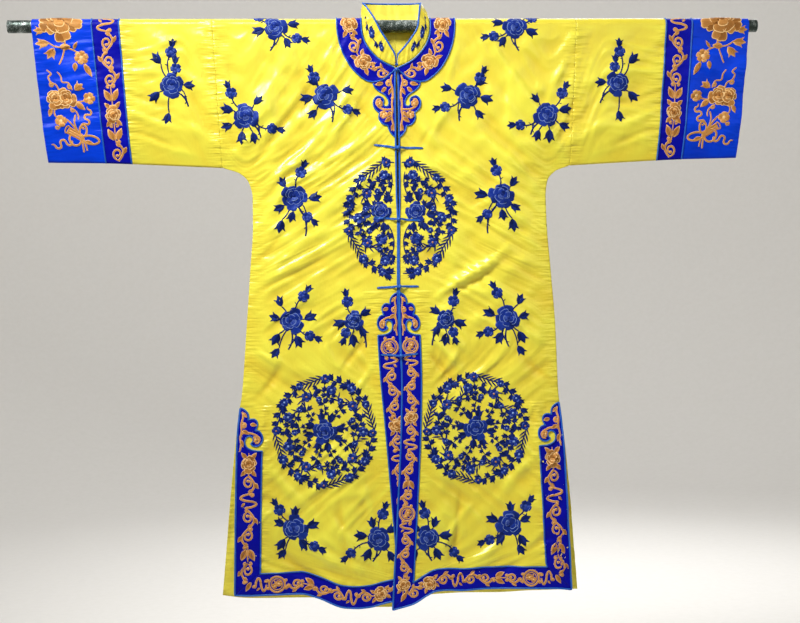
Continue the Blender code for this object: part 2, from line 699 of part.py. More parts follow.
def lappet(side, border, piping):
    name = SIDE_NAME[side]
    shape = outline(LAPPET)
    top = [Vector(point) for point in LAPPET_TOP]
    past_edge = shape[-1] - Vector((OUTLINE_MARGIN, 0.0))
    laid_on(f"lappet_{name}", side, top + shape + [past_edge], TRIM_LIFT, TRIM_LIFT + TRIM, border)
    run = [point for point in shape if point.x > LAPPET_CORD_END]
    ribbon = run + list(reversed(inset(run, PIPING_WIDTH)))
    laid_on(f"lappet_piping_{name}", side, ribbon, PIPING_LIFT, PIPING_LIFT + TRIM, piping)


def ball(name, centre, radius, material):
    form = bmesh.new()
    bmesh.ops.create_icosphere(form, subdivisions=2, radius=radius)
    bmesh.ops.translate(form, verts=form.verts, vec=centre)
    place(name, form, material)


def frog(index, row, material):
    """Two straps of satin cord that meet at a ball knot on the front edges."""
    depth_left, depth_knot, depth_right, out_left, out_right = row
    on_border = index == BORDER_FROG
    rest = (PIPING_LIFT if on_border else TRIM_LIFT) + CORD_RADIUS
    over = TOP_LIFT + CORD_RADIUS
    knot = on_cloth(RIGHT, FRONT_EDGE[0][1], path_of(FRONT, depth_knot), TOP_LIFT + KNOT_RADIUS)
    ball(f"frog_{index + 1}_knot", knot, KNOT_RADIUS, material)
    near = KNOT_RADIUS + CLEAR + CORD_RADIUS / 2
    for side, end, depth in ((LEFT, out_left, depth_left), (RIGHT, out_right, depth_right)):
        points = [on_cloth(side, end, path_of(FRONT, depth), rest)]
        middle = (depth + depth_knot) / 2
        points.append(on_cloth(side, end * 0.5, path_of(FRONT, middle), rest))
        points.append(on_cloth(side, STRAP_BEND, path_of(FRONT, depth_knot), rest + CORD_RADIUS / 2))
        last = on_cloth(side, near + STRAP_EYE, path_of(FRONT, depth_knot), over)
        last.y = min(last.y, knot.y + KNOT_RADIUS - CORD_RADIUS)
        points.append(last)
        points.append(Vector((SIGN[side] * near + knot.x, knot.y, knot.z)))
        tube(f"frog_{index + 1}_{SIDE_NAME[side]}", points, CORD_RADIUS, material)


def neck_knot(material):
    path = path_of(FRONT, NECK_DEPTH + NECK_KNOT_DROP)
    centre = on_cloth(LEFT, 0.0, path, TOP_LIFT + CLEAR + KNOT_RADIUS)
    ball("neck_knot", centre, KNOT_RADIUS, material)


def rod(material):
    form = bmesh.new()
    length = ROD_ENDS[1] - ROD_ENDS[0]
    bmesh.ops.create_cone(form, cap_ends=True, segments=ROD_SIDES, radius1=ROD_RADIUS, radius2=ROD_RADIUS,
                          depth=length)
    for vert in form.verts:
        x, y, z = vert.co
        vert.co = (z + sum(ROD_ENDS) / 2, x, y)
    place("rod", form, material)


def main():
    clear_scene()
    yellow = finish("yellow_satin", YELLOW, SATIN_ROUGH)
    cuff_blue = finish("cuff_satin", CUFF_BLUE, SATIN_ROUGH)
    border_blue = finish("border_satin", BORDER_BLUE, TRIM_ROUGH)
    piping_blue = finish("piping_satin", PIPING_BLUE, TRIM_ROUGH)
    rod(finish("hammered_steel", ROD_GREY, ROD_ROUGH, metallic=1.0))
    for side in (LEFT, RIGHT):
        body_half(side, yellow)
        sleeve(side, yellow, border_blue, cuff_blue, piping_blue)
        neck_band(side, border_blue, piping_blue)
        lappet(side, border_blue, piping_blue)
        borders(side, border_blue, piping_blue)
        edge_piping(side, piping_blue)
    collar(yellow, piping_blue)
    neck_piping(piping_blue)
    neck_knot(piping_blue)
    for index, row in enumerate(FROGS):
        frog(index, row, piping_blue)


main()
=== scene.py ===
"""The looks of a long embroidered satin robe that hangs flat on a steel rod.

Metres, +Z up. The front faces -Y. "Out" is the distance from the robe's middle towards a side edge, "depth"
the distance below the rod's axis, and "path" the length along the cloth from the top of its fold over the
rod, positive in front. A piece of cloth is worked out in out and path, and then laid in space with its
creases.
"""
import math

import bpy
import numpy as np
from bpy.props import FloatProperty, FloatVectorProperty, IntProperty, PointerProperty
from mathutils import Matrix, Vector
from mathutils.geometry import delaunay_2d_cdt


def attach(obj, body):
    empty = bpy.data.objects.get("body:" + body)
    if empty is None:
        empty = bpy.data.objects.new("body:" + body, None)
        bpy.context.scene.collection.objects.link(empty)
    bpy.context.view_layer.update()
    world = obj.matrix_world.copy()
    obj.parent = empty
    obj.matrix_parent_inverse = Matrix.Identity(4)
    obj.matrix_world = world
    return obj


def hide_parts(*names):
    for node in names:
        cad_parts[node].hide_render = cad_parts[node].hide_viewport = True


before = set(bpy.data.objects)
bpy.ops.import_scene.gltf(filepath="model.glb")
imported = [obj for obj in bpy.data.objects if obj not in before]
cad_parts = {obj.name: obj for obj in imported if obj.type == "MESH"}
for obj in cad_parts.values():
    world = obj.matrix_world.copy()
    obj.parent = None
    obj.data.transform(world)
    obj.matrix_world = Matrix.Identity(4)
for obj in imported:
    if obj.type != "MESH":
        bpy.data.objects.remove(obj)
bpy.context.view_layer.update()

bl_info = {
    "name": "Embroidered satin robe",
    "version": (1, 0, 0),
    "blender": (4, 5, 0),
    "location": "3D View > Sidebar > Robe",
    "description": "Builds a satin robe with its embroidery, borders and frogs on a steel rod",
    "category": "Object",
}

BODY = "root"
LEFT, RIGHT = 0, 1
SIDES = (LEFT, RIGHT)
SIGN = (-1.0, 1.0)
SIDE_NAME = ("left", "right")
FRONT, BACK = 1, -1
MM = 0.001


def metres(*rows):
    """Rows of millimetres as an array in metres."""
    return np.array(rows) * MM


# The same cut as the solids: rod, cloth and fold
ROD_RADIUS = 0.0125
ROD_ENDS = (-0.763, 0.734)
CLEAR = 0.0003
CLOTH = 0.0015
TRIM = 0.0010
FOLD_RADIUS = 0.0131
QUARTER = math.pi / 2 * FOLD_RADIUS
TRIM_LIFT = CLOTH + CLEAR
TRIM_TOP = TRIM_LIFT + TRIM
TOP_LIFT = 0.0044
CLOSING = 0.100
HEM_START = 0.92
HEM_LEVEL = 1.13
WAVE_START = 0.70
LAP = TOP_LIFT + CLEAR
LAP_TOP, LAP_FULL = 0.43, 0.53
LAP_WIDE, LAP_END = 0.045, 0.150

# Neck and collar
NECK_HALF = 0.0685
NECK_DEPTH = 0.084
BAND_HALF = 0.1175
COLLAR_GAP = 0.0017
SLOPE_STEP = 0.0005
KNOT_RADIUS = 0.0040
COLLAR_LIFT = 0.0007

# Borders
FRONT_BORDER = (0.044, 0.040)
SLIT_BORDER = 0.051
HEM_BORDER = 0.044
FRONT_APEX = 0.532
SLIT_APEX = 0.757

# Side edge of both panels: depth, out on the left, out on the right
SIDE_EDGE = metres(
    (281, 347.5, 347.5), (292, 314, 318), (311, 296, 302), (340, 289, 298), (390, 289, 299),
    (490, 296, 306), (606, 305, 314), (735, 316, 318), (757, 320, 320), (832, 327, 326), (1130, 335, 338),
)
# Side edge of the back panel below the slit's top: depth, left, right
BACK_EDGE = metres((757, 320, 320), (832, 331, 332), (1140, 361, 355))
# Free front edge below the neck: depth, left, right
FRONT_EDGE = metres(
    (84, 0.4, 0.4), (110, 2.2, 2.2), (240, 2.4, 2.4), (340, 2, 2), (390, 0.4, 0.4), (530, 2.2, -1.8),
    (620, 0, -0.6), (700, -4, 1), (786, -11, -1), (950, -23, -10), (1104, -34, -20), (1170, -38, -24),
)
# Hems: out, depth on the left, depth on the right
FRONT_HEM = metres(
    (-40, 1140, 1170), (-20, 1143, 1163), (20, 1147, 1152), (45, 1152, 1137), (65, 1157, 1128),
    (85, 1158, 1127), (117, 1156, 1129), (169, 1137, 1127), (204, 1128, 1127), (300, 1129, 1129),
    (338, 1127, 1133),
)
BACK_HEM = metres(
    (0, 1162, 1158), (20, 1164, 1152), (57, 1163, 1141), (93, 1162, 1140), (135, 1150, 1139),
    (173, 1142, 1139), (312, 1138, 1138), (362, 1131, 1137),
)
# How far the panels swing out at the hem: out, left front, right front, left back, right back
HEM_WAVES = metres(
    (-40, 0, 0, 0, 0), (50, 0, 0, 1, 2), (110, 6, -3, -3, 4), (190, -4, -3, 4, -3), (260, -3, 4, 2, 3),
    (340, 0, 0, 0, 0),
)
# Neckline in front: depth, out
NECKLINE = metres((0, 68.5), (18, 67), (36, 61), (53, 50), (69, 34), (78, 19), (84, 0.4))
# Neckline behind the shoulder: quarter turns from the fold's top, out
BACK_NECK = ((0.0, 0.0685), (0.25, 0.0665), (0.5, 0.059), (0.75, 0.044), (1.0, CLEAR / 2))

# Cross seams of a sleeve: out at the rod, out at the bottom, depth of the bottom
SLEEVE_SEAM = (0.363, 0.3475, 0.281)
BAND_SEAM = (0.5454, 0.5252, 0.272)
CUFF_SEAM = (0.5986, 0.5759, 0.270)
CUFF_END = (0.7150, 0.6880, 0.268)

# Neck band in front, from its tip to the shoulder: inner out, inner depth, outer out, outer depth
NECK_BAND = metres(
    (3, 86, 10.5, 96), (8, 83.5, 30, 110.5), (19, 78.5, 56, 112.5), (34, 69.5, 77, 99), (50, 53.5, 94, 79),
    (61, 36.5, 108, 51), (67, 18.5, 115.5, 22), (68.5, 0, 117.5, 0),
)
# Neck band on the back: depth, outer out
NECK_BAND_BACK = metres((12, 116), (26, 106), (38, 86), (47, 54), (51, 16))

# Stand collar's free edge: seam depth in front or quarter turns over the shoulder, free out left, free out
# right, free y, free z
COLLAR_FRONT = (
    (0.0835, 0.003, 0.0035, -0.018, -0.06), (0.0795, 0.0095, 0.014, -0.0198, -0.049),
    (0.074, 0.0165, 0.0235, -0.0213, -0.038), (0.067, 0.0225, 0.0305, -0.0225, -0.0285),
    (0.052, 0.031, 0.039, -0.0235, -0.016), (0.034, 0.037, 0.044, -0.024, -0.004),
    (0.017, 0.044, 0.0455, -0.0235, 0.01),
)
COLLAR_OVER = (
    (1.0, 0.05, 0.047, -0.0215, 0.02), (0.75, 0.055, 0.048, -0.0185, 0.028),
    (0.5, 0.059, 0.049, -0.0145, 0.035), (0.25, 0.062, 0.05, -0.009, 0.04),
    (0.0, 0.064, 0.051, -0.003, 0.044), (-0.25, 0.064, 0.052, 0.004, 0.046),
    (-0.5, 0.06, 0.05, 0.011, 0.047), (-0.75, 0.043, 0.04, 0.017, 0.0475),
    (-0.9, 0.018, 0.018, 0.019, 0.0475),
)
COLLAR_MIDDLE = (0.0, 0.0192, 0.0475)

# Cloud head at the top of a border: across from the free edge, down from its tip, for a border this wide
CLOUD_HEAD = (
    metres((0, 0), (8.8, 3.3), (17, 10), (20, 18), (19.3, 24)),
    metres((19.3, 24), (29.7, 22.4), (36.5, 26), (39.2, 32.8), (37.6, 40.8), (35, 45.5)),
    metres((35, 45.5), (42.6, 46.2), (48.9, 52.9), (51.4, 62.3), (48.7, 71), (40.8, 76.3), (33, 75),
           (28.1, 71)),
    metres((28.1, 71), (32.3, 66.3), (32.5, 60.9), (29.2, 56.9), (24.4, 55.8), (19, 58.5), (16.5, 64.3),
           (17.1, 71), (21, 77.7), (28.7, 82.4), (38.2, 84.8), (51.4, 85.7)),
)
HEAD_WIDTH, HEAD_HEIGHT = CLOUD_HEAD[-1][-1]
# Lappet below the neck band: across from the front edge, depth
LAPPET = (
    metres((47, 116), (44, 124), (35.6, 132), (24, 139.5), (17, 150), (16.5, 159), (21.5, 163), (27, 159),
           (26.2, 150), (29, 145)),
    metres((29, 145), (37.4, 142), (44, 146.5), (47, 155), (44.5, 166.5), (34.6, 176)),
    metres((34.6, 176), (36.2, 183), (34.6, 191), (28, 198.5), (18.2, 201)),
    metres((18.2, 201), (16.8, 208), (12.6, 216), (4.8, 224)),
)
LAPPET_TOP = metres((4.5, 92.5), (11, 97.5), (30, 112))

# Frogs: depth of the left end, of the knot and of the right end, out of the left end and the right end
FROGS = (
    (0.239, 0.245, 0.246, 0.045, 0.049),
    (0.384, 0.387, 0.390, 0.047, 0.040),
    (0.523, 0.521, 0.521, 0.043, 0.036),
    (0.656, 0.658, 0.655, 0.037, 0.033),
)
BORDER_FROG = 3

# Creases, listed one by one. Each row: where it starts (out, depth), where it ends, half-width, height, bend.
# A negative height is a trough. Widths, heights and bends are in millimetres.
CREASES = {
    (LEFT, FRONT): (
        (335, 275, 215, 60, 16, 4.6, 8), (300, 300, 165, 130, 13, -3.6, -6),
        (285, 330, 120, 190, 12, 3.8, 7), (292, 365, 150, 255, 10, -3, -5),
        (290, 400, 195, 270, 11, 3.9, 10), (285, 440, 170, 345, 9, 2.8, -4),
        (290, 470, 215, 400, 8, -2.6, 3), (296, 505, 180, 425, 11, 3, 6), (300, 560, 205, 500, 9, 2.3, -5),
        (250, 75, 240, 230, 14, 2.2, 9), (200, 50, 175, 200, 12, -2.4, -7), (130, 30, 110, 120, 9, 1.9, 4),
        (118, 150, 60, 250, 9, 2.4, 5), (90, 130, 30, 215, 7, -2, 4), (260, 615, 150, 560, 12, 2.6, 8),
        (308, 640, 215, 690, 10, 2.2, -6), (150, 640, 65, 560, 10, 2.3, 5),
        (120, 690, 60, 620, 8, -2.2, -4), (100, 735, 50, 660, 8, 2.4, 5), (290, 740, 230, 660, 11, -2.6, 6),
        (265, 865, 180, 960, 12, 2.6, 7), (270, 930, 215, 1010, 9, -2.2, -5),
        (150, 960, 60, 1060, 12, 3.2, 9), (125, 935, 100, 1090, 10, -3, 5), (80, 900, 50, 1060, 9, 2.6, -6),
        (200, 1000, 110, 1085, 10, 2.8, 6), (240, 1050, 150, 1100, 10, -2.4, 5),
        (75, 1030, 35, 1100, 8, 2, 3), (345, 60, 300, 205, 13, 2.6, 8), (362, 120, 310, 260, 10, -2.4, -6),
        (230, 790, 235, 900, 14, 1.8, 8), (110, 800, 95, 930, 15, 1.7, -7),
    ),
    (RIGHT, FRONT): (
        (340, 272, 190, 45, 15, 4.4, -7), (300, 305, 150, 150, 13, -3.4, 6),
        (298, 345, 150, 215, 12, 4, -8), (296, 385, 170, 300, 10, -3, 4), (302, 420, 160, 325, 11, 3.5, 7),
        (300, 460, 200, 395, 8, 2.8, -4), (306, 520, 190, 450, 10, -2.7, 5),
        (235, 80, 230, 250, 14, 2.3, -8), (185, 40, 150, 190, 12, -2.4, 7), (125, 45, 100, 130, 8, 2, -4),
        (110, 160, 55, 245, 9, 2.2, -5), (75, 200, 45, 245, 7, -1.8, -3), (210, 330, 140, 370, 9, 2.6, 5),
        (220, 440, 95, 515, 13, 5, 9), (205, 475, 85, 540, 9, -4.2, 6), (160, 490, 50, 560, 8, 2.6, -4),
        (55, 620, 125, 700, 9, 3.4, 6), (50, 650, 110, 730, 7, -2.8, 5), (60, 600, 140, 660, 8, 2.4, 4),
        (260, 590, 170, 520, 11, 2.4, -6), (300, 640, 200, 560, 12, 2.8, 8),
        (316, 720, 235, 650, 10, -2.4, 5), (270, 860, 190, 950, 12, 2.4, -7),
        (265, 930, 195, 1020, 10, -2.4, 5), (140, 955, 75, 1060, 11, 3, -8),
        (115, 930, 90, 1080, 9, -2.6, 5), (205, 1020, 120, 1080, 10, 2.8, 6),
        (250, 1060, 170, 1100, 9, -2.2, 4), (345, 60, 295, 200, 12, 2.4, -7),
        (360, 130, 315, 255, 10, -2.2, 5), (240, 780, 235, 900, 14, 1.9, -8),
        (70, 820, 80, 940, 13, 1.6, 6),
    ),
    (LEFT, BACK): (
        (340, 270, 200, 70, 16, 4.2, 8), (300, 310, 130, 160, 13, -3.2, -6),
        (292, 380, 150, 260, 12, 3.6, 7), (295, 470, 180, 390, 10, 2.8, 5),
        (300, 560, 170, 500, 11, -2.6, 5), (160, 60, 120, 240, 15, 2.6, 9), (90, 90, 60, 300, 14, -2.4, -8),
        (40, 120, 30, 420, 13, 2.2, 6), (230, 620, 120, 760, 14, 2.6, -9), (100, 560, 80, 820, 15, 2.2, 8),
        (260, 800, 230, 1080, 18, 3.4, 9), (180, 820, 160, 1110, 17, -3.2, -7),
        (110, 880, 90, 1120, 16, 3.4, 6), (50, 900, 40, 1120, 14, -2.8, -6),
        (330, 880, 310, 1080, 12, 2.4, 5),
    ),
    (RIGHT, BACK): (
        (342, 268, 190, 60, 15, 4.4, -8), (305, 315, 140, 150, 12, -3.2, 6),
        (298, 370, 160, 270, 12, 3.4, -7), (300, 455, 190, 380, 10, 2.6, -5),
        (305, 570, 160, 490, 12, -2.6, 6), (170, 50, 130, 230, 15, 2.4, -9),
        (100, 80, 70, 310, 13, -2.4, 8), (45, 150, 35, 450, 13, 2, -6), (220, 640, 130, 780, 13, 2.4, 9),
        (90, 580, 85, 840, 15, 2.4, -8), (270, 790, 245, 1080, 17, 3.2, -9),
        (195, 830, 175, 1110, 17, -3, 7), (120, 870, 100, 1110, 15, 3.2, -6),
        (325, 900, 305, 1090, 12, 2.2, -5),
    ),
}
# Creases of a sleeve, the same way, shared by its front and its back with different heights
SLEEVE_CREASES = (
    (540, 55, 450, 35, 7, 1.6, 4), (538, 95, 430, 100, 9, 2.4, -5), (537, 130, 440, 160, 9, -2.4, 4),
    (534, 165, 410, 210, 11, 3, 6), (531, 205, 440, 240, 8, -2.2, -3), (470, 50, 380, 120, 13, 2.2, 8),
    (450, 180, 350, 245, 12, 2.6, -6), (420, 120, 350, 200, 11, -2.2, 6), (400, 30, 370, 150, 12, 1.9, 5),
    (500, 225, 380, 262, 8, 2, 3), (560, 80, 690, 92, 11, 1.6, 4), (580, 150, 685, 130, 12, -1.8, -5),
    (570, 190, 680, 205, 12, 2, 5), (600, 235, 670, 245, 8, 1.4, 3), (620, 40, 640, 180, 15, 1.3, 6),
)
SLEEVE_CREASE_SHARE = {(LEFT, FRONT): 1.0, (RIGHT, FRONT): 0.92, (LEFT, BACK): -0.85, (RIGHT, BACK): 0.8}
# Small all-over unevenness: wavelength in metres, direction in degrees, height in millimetres, phase
RIPPLES = (
    (0.061, 38, 0.42, 0.3), (0.043, 61, 0.26, 1.9), (0.083, 12, 0.45, 4.0), (0.037, 104, 0.20, 2.7),
    (0.052, 142, 0.24, 5.1), (0.029, 49, 0.16, 0.8), (0.118, 82, 0.55, 3.3),
)
# Fine creases where the cloth is pulled: depth, their angle from level in degrees, their height in mm
PULLS = ((0.0, 66, 1.6), (0.2, 58, 2.6), (0.4, 42, 2.7), (0.6, 34, 2.8), (0.8, 54, 2.6), (1.0, 50, 2.8),
         (1.16, 72, 1.6))
SLEEVE_PULL = (14, 1.8)
# Puckers along a sleeve's cross seams: how far they reach, their length, their spacing and their height
PUCKER_REACH, PUCKER_LENGTH, PUCKER_SPACING, PUCKER_HEIGHT = 0.030, 0.030, 0.0095, 0.0016
PULL_LENGTH, PULL_SPACING = 0.105, 0.021
CREASE_SHARP, CREASE_SOFT = 0.72, 1.30
SKIRT_MORE = 0.55
FOLD_CALM = 0.030
SEAM_CALM = 0.055
MIDDLE_CALM = 0.022
SEAM_DIP = 0.0005
SEAM_ROUND = 0.0026

# Sprays on the left, in millimetres; the right ones mirror them. Out and depth of the flower, its radius, its
# turn in degrees, and what stands round it: leaves, buds and stem end as across and down from the flower.
SPRAYS = (
    ("sleeve", 444, 120, 25, 10, ((-32, -4), (32, 18), (4, 62), (26, -52)), ((2, -66), (-8, -34)), (-34, 40)),
    ("underarm", 299, 182, 26, 40, ((-20, -32), (34, -16), (34, 20), (10, 38), (-18, 38)),
     ((30, -46), (-52, 22)), (-30, 40)),
    ("chest", 141, 141, 26, 70, ((-40, -14), (22, -30), (22, 36), (36, 2)), ((24, -36), (-44, 26)),
     (-14, 52)),
    ("waist", 206, 342, 26, 25, ((24, -26), (-38, 2), (26, 22), (28, 54), (2, 36)), ((-12, -50), (-27, 38)),
     (-24, 76)),
    ("skirt_outer", 214, 587, 26, 55, ((26, -36), (-34, -6), (32, -4), (32, 32), (28, 62), (-10, 38)),
     ((-22, -50), (-36, 28)), (6, 56)),
    ("skirt_inner", 91, 588, 20, 15, ((-18, -17), (24, 2), (-18, 19), (4, 36)), ((14, -38), (16, 24)),
     (-25, 52)),
    ("hem_outer", 213, 997, 27, 80, ((3, -27), (-30, -4), (30, -8), (28, 28), (22, 50), (-12, 29)),
     ((32, -36), (-38, 34)), (-22, 44)),
    ("hem_inner", 49, 1022, 25, 35, ((14, -30), (32, -10), (-22, -20), (22, 26), (-26, 30)),
     ((-8, -50), (54, 27)), (10, 44)),
    ("shoulder", 238, 6, 24, 65, ((-32, -10), (32, 4), (-24, 26), (30, -36)), ((34, -22), (-42, 20)),
     (10, 46)),
)

# Medallions of flowers in millimetres: name, side, out and depth of the middle, radius across, radius down,
# and whether it is a half that stops at the front's edge
MEDALLIONS = (
    ("chest", LEFT, 0, 384.5, 114, 128, True), ("chest", RIGHT, 0, 384.5, 122, 128, True),
    ("skirt", LEFT, 152.5, 807, 108, 119, False), ("skirt", RIGHT, 149, 806, 112, 117, False),
)


def linear(hex_colour):
    """sRGB hex to linear, for Blender's sockets."""
    channels = [int(hex_colour[i:i + 2], 16) / 255 for i in (1, 3, 5)]
    return tuple(c / 12.92 if c <= 0.04045 else ((c + 0.055) / 1.055) ** 2.4 for c in channels)


def colour(name, hex_colour, words):
    return FloatVectorProperty(name=name, description=words, subtype="COLOR", size=3, min=0.0, max=1.0,
                               default=linear(hex_colour))


def length(name, default, low, high, words):
    return FloatProperty(name=name, description=words, default=default, min=low, max=high, unit="LENGTH")


def power(name, default, words):
    return FloatProperty(name=name, description=words, default=default, min=0.0, max=1000.0, subtype="POWER",
                         unit="POWER")


class RobeCloth(bpy.types.PropertyGroup):
    """Satins and how the cloth lies."""
    body: colour("Body satin", "#F6EF4C", "The yellow of the body, the sleeves and the collar")
    # Mixed in a little everywhere, and more in crease troughs as painted shade
    body_deep_and_shade: colour("Body satin, deep", "#DCA916", "The yellow that gathers in the folds")
    lining: colour("Lining", "#F8EE5E", "The paler inside of the body and the collar")
    cuff: colour("Cuff satin", "#0046EE", "The royal blue of the cuffs")
    border: colour("Border satin", "#0810AE", "The ultramarine of bands and borders")
    piping: colour("Piping satin", "#1160C2", "The brighter blue of pipings and frogs")
    crease: FloatProperty(name="Crease height", description="All creases are this many times as high",
                          default=1.25, min=0.0, max=2.0)
    cell: length("Front cell", 0.004, 0.002, 0.02, "Width of the cloth's cells in front")
    back_cell: length("Back cell", 0.008, 0.002, 0.03, "Width of the cloth's cells behind")


class RobeThread(bpy.types.PropertyGroup):
    """Embroidery floss."""
    navy: colour("Navy floss", "#1A3390", "Petals and leaves on the yellow satin")
    navy_dark: colour("Navy floss, dark", "#0B1444", "Their stems and shaded halves")
    navy_light: colour("Navy floss, light", "#8299D0", "The thin lines inside the petals")
    copper: colour("Copper floss", "#D2924C", "Flowers and scrolls on the blue satins")
    copper_dark: colour("Copper floss, dark", "#7E4A1C", "Their shaded halves")
    copper_light: colour("Copper floss, light", "#FFD898", "Their rims")
    rise: length("Rise", 0.0008, 0.0, 0.003, "How far a satin-stitched shape stands up in its middle")


class RobeStage(bpy.types.PropertyGroup):
    """Floor, light and camera."""
    floor_depth: length("Floor", 1.62, 1.3, 2.5, "How far the floor lies below the rod")
    bowl: length("Backdrop", 4.2, 3.0, 20.0, "Radius of the pale floor's flat part")
    key: power("Key light", 13.4, "Power of the narrow light from the upper left")
    fill: power("Fill light", 9.0, "Power of the soft light from the right")
    wall: power("Wall light", 105.0, "Power of the light on the pale wall behind the robe")
    back: power("Back light", 60.0, "Power of the light behind the robe")
    rod_sides: IntProperty(name="Rod sides", description="How many sides the rod's circle has",
                           default=72, min=12, max=256)


def follow(table, at, column):
    """A column's values at places in the first column, on a smooth curve through the rows."""
    rows = np.asarray(table, float)
    x, y = rows[:, 0], rows[:, column]
    rise = np.diff(y) / np.diff(x)
    lean = np.concatenate([rise[:1], np.zeros(len(x) - 2), rise[-1:]])
    before, after = rise[:-1], rise[1:]
    same = before * after > 0
    lean[1:-1] = np.where(same, 2 * before * after / np.where(same, before + after, 1.0), 0.0)
    at = np.clip(np.asarray(at, float), x[0], x[-1])
    i = np.clip(np.searchsorted(x, at, side="right") - 1, 0, len(x) - 2)
    span = x[i + 1] - x[i]
    t = (at - x[i]) / span
    return ((1 + 2 * t) * (1 - t) ** 2 * y[i] + t * (1 - t) ** 2 * span * lean[i]
            + t * t * (3 - 2 * t) * y[i + 1] - t * t * (1 - t) * span * lean[i + 1])


def ease(low, high, value):
    """0 below low, 1 above high, and a soft step between; high may be the smaller one."""
    t = np.clip((np.asarray(value, float) - low) / (high - low), 0.0, 1.0)
    return t * t * (3 - 2 * t)


def pair(first, second):
    """Two columns of numbers as an array of places."""
    return np.stack(np.broadcast_arrays(first, second), axis=-1)


def unit(ways):
    return ways / np.maximum(np.linalg.norm(ways, axis=-1, keepdims=True), 1e-9)


def run_of(line):
    """The directions along a line of points, each one long."""
    return unit(np.gradient(line, axis=0))


def along_of(line):
    """The length from a line's start to each of its points."""
    return np.concatenate([[0], np.cumsum(np.linalg.norm(np.diff(line, axis=0), axis=1))])


def circle(sides):
    return 2 * math.pi * np.arange(sides) / sides


def round_faces(rings, sides, ends=True):
    """Quads between rings of points, and a face across each end."""
    a = np.arange(rings * sides).reshape(rings, sides)
    b = np.roll(a, -1, axis=1)
    faces = np.stack([a[:-1], b[:-1], b[1:], a[1:]], axis=-1).reshape(-1, 4).tolist()
    return faces + [a[0, ::-1].tolist(), a[-1].tolist()] if ends else faces


def to_line(points, x, y):
    """Distance of places to a line of points."""
    best = np.full(np.shape(x), np.inf)
    for (ax, ay), (bx, by) in zip(points, points[1:]):
        dx, dy = bx - ax, by - ay
        t = np.clip(((x - ax) * dx + (y - ay) * dy) / (dx * dx + dy * dy), 0.0, 1.0)
        best = np.minimum(best, np.hypot(x - ax - t * dx, y - ay - t * dy))
    return best


def seam_line(side):
    """The seam that joins front and back: up the side from the slit, then out under the sleeve."""
    under = [(row[1 + side], row[0]) for row in SIDE_EDGE if row[0] <= SLIT_APEX]
    return list(reversed(under)) + [(seam[1], seam[2]) for seam in (BAND_SEAM, CUFF_SEAM, CUFF_END)]


SEAMS = (seam_line(LEFT), seam_line(RIGHT))


def noise(u, v, seed):
    """Smooth values from 0 to 1 that change from cell to cell of a grid."""
    cell_u, cell_v = np.floor(u), np.floor(v)
    step_u, step_v = ease(0, 1, u - cell_u), ease(0, 1, v - cell_v)

    def corner(a, b):
        value = np.sin(a * 127.1 + b * 311.7 + seed * 74.7) * 43758.5453
        return value - np.floor(value)
    top = corner(cell_u, cell_v) * (1 - step_u) + corner(cell_u + 1, cell_v) * step_u
    low = corner(cell_u, cell_v + 1) * (1 - step_u) + corner(cell_u + 1, cell_v + 1) * step_u
    return top * (1 - step_v) + low * step_v


def pull_lines(out, depth):
    """Place along and across the lines of pull, height of fine creases, and share of the sleeve's pull."""
    sleeve = ease(0.29, 0.43, out)
    slant = np.radians(follow(PULLS, depth, 1) * (1 - sleeve) + SLEEVE_PULL[0] * sleeve)
    height = follow(PULLS, depth, 2) * (1 - sleeve) + SLEEVE_PULL[1] * sleeve
    along = out * np.cos(slant) + depth * np.sin(slant)
    across = depth * np.cos(slant) - out * np.sin(slant)
    return along, across, height, sleeve


def fine_creases(side, face, out, depth):
    """Small ridges along the lines of pull, in metres."""
    along, across, height, sleeve = pull_lines(out, depth)
    height = height * (1 - 2 * sleeve * (1 - sleeve))
    seed = 1 + side + 2 * (face == BACK)
    total = 0
    for finer, share in ((1.0, 1.0), (1.9, 0.55), (0.45, 1.1)):
        value = noise(along / PULL_LENGTH * finer ** 0.6 + seed, across / PULL_SPACING * finer, seed * finer)
        total = total + share * ((1 - np.abs(2 * value - 1)) ** 2.4 - 0.3)
    strong = 0.35 + 0.9 * noise(out / 0.11, depth / 0.13, seed + 9)
    return height * MM * strong * total


def puckers(side, face, out, depth):
    """Short level ridges on both sides of the sleeve's cross seams, in metres."""
    seed = 5 + side + 2 * (face == BACK)
    value = noise(out / PUCKER_LENGTH + seed, depth / PUCKER_SPACING, seed) - 0.5
    near = sum(np.exp(-((out - seam_out(seam, depth)) / PUCKER_REACH) ** 2)
               for seam in (SLEEVE_SEAM, BAND_SEAM))
    return PUCKER_HEIGHT * value * near * ease(SLEEVE_SEAM[2] + 0.05, SLEEVE_SEAM[2], depth)


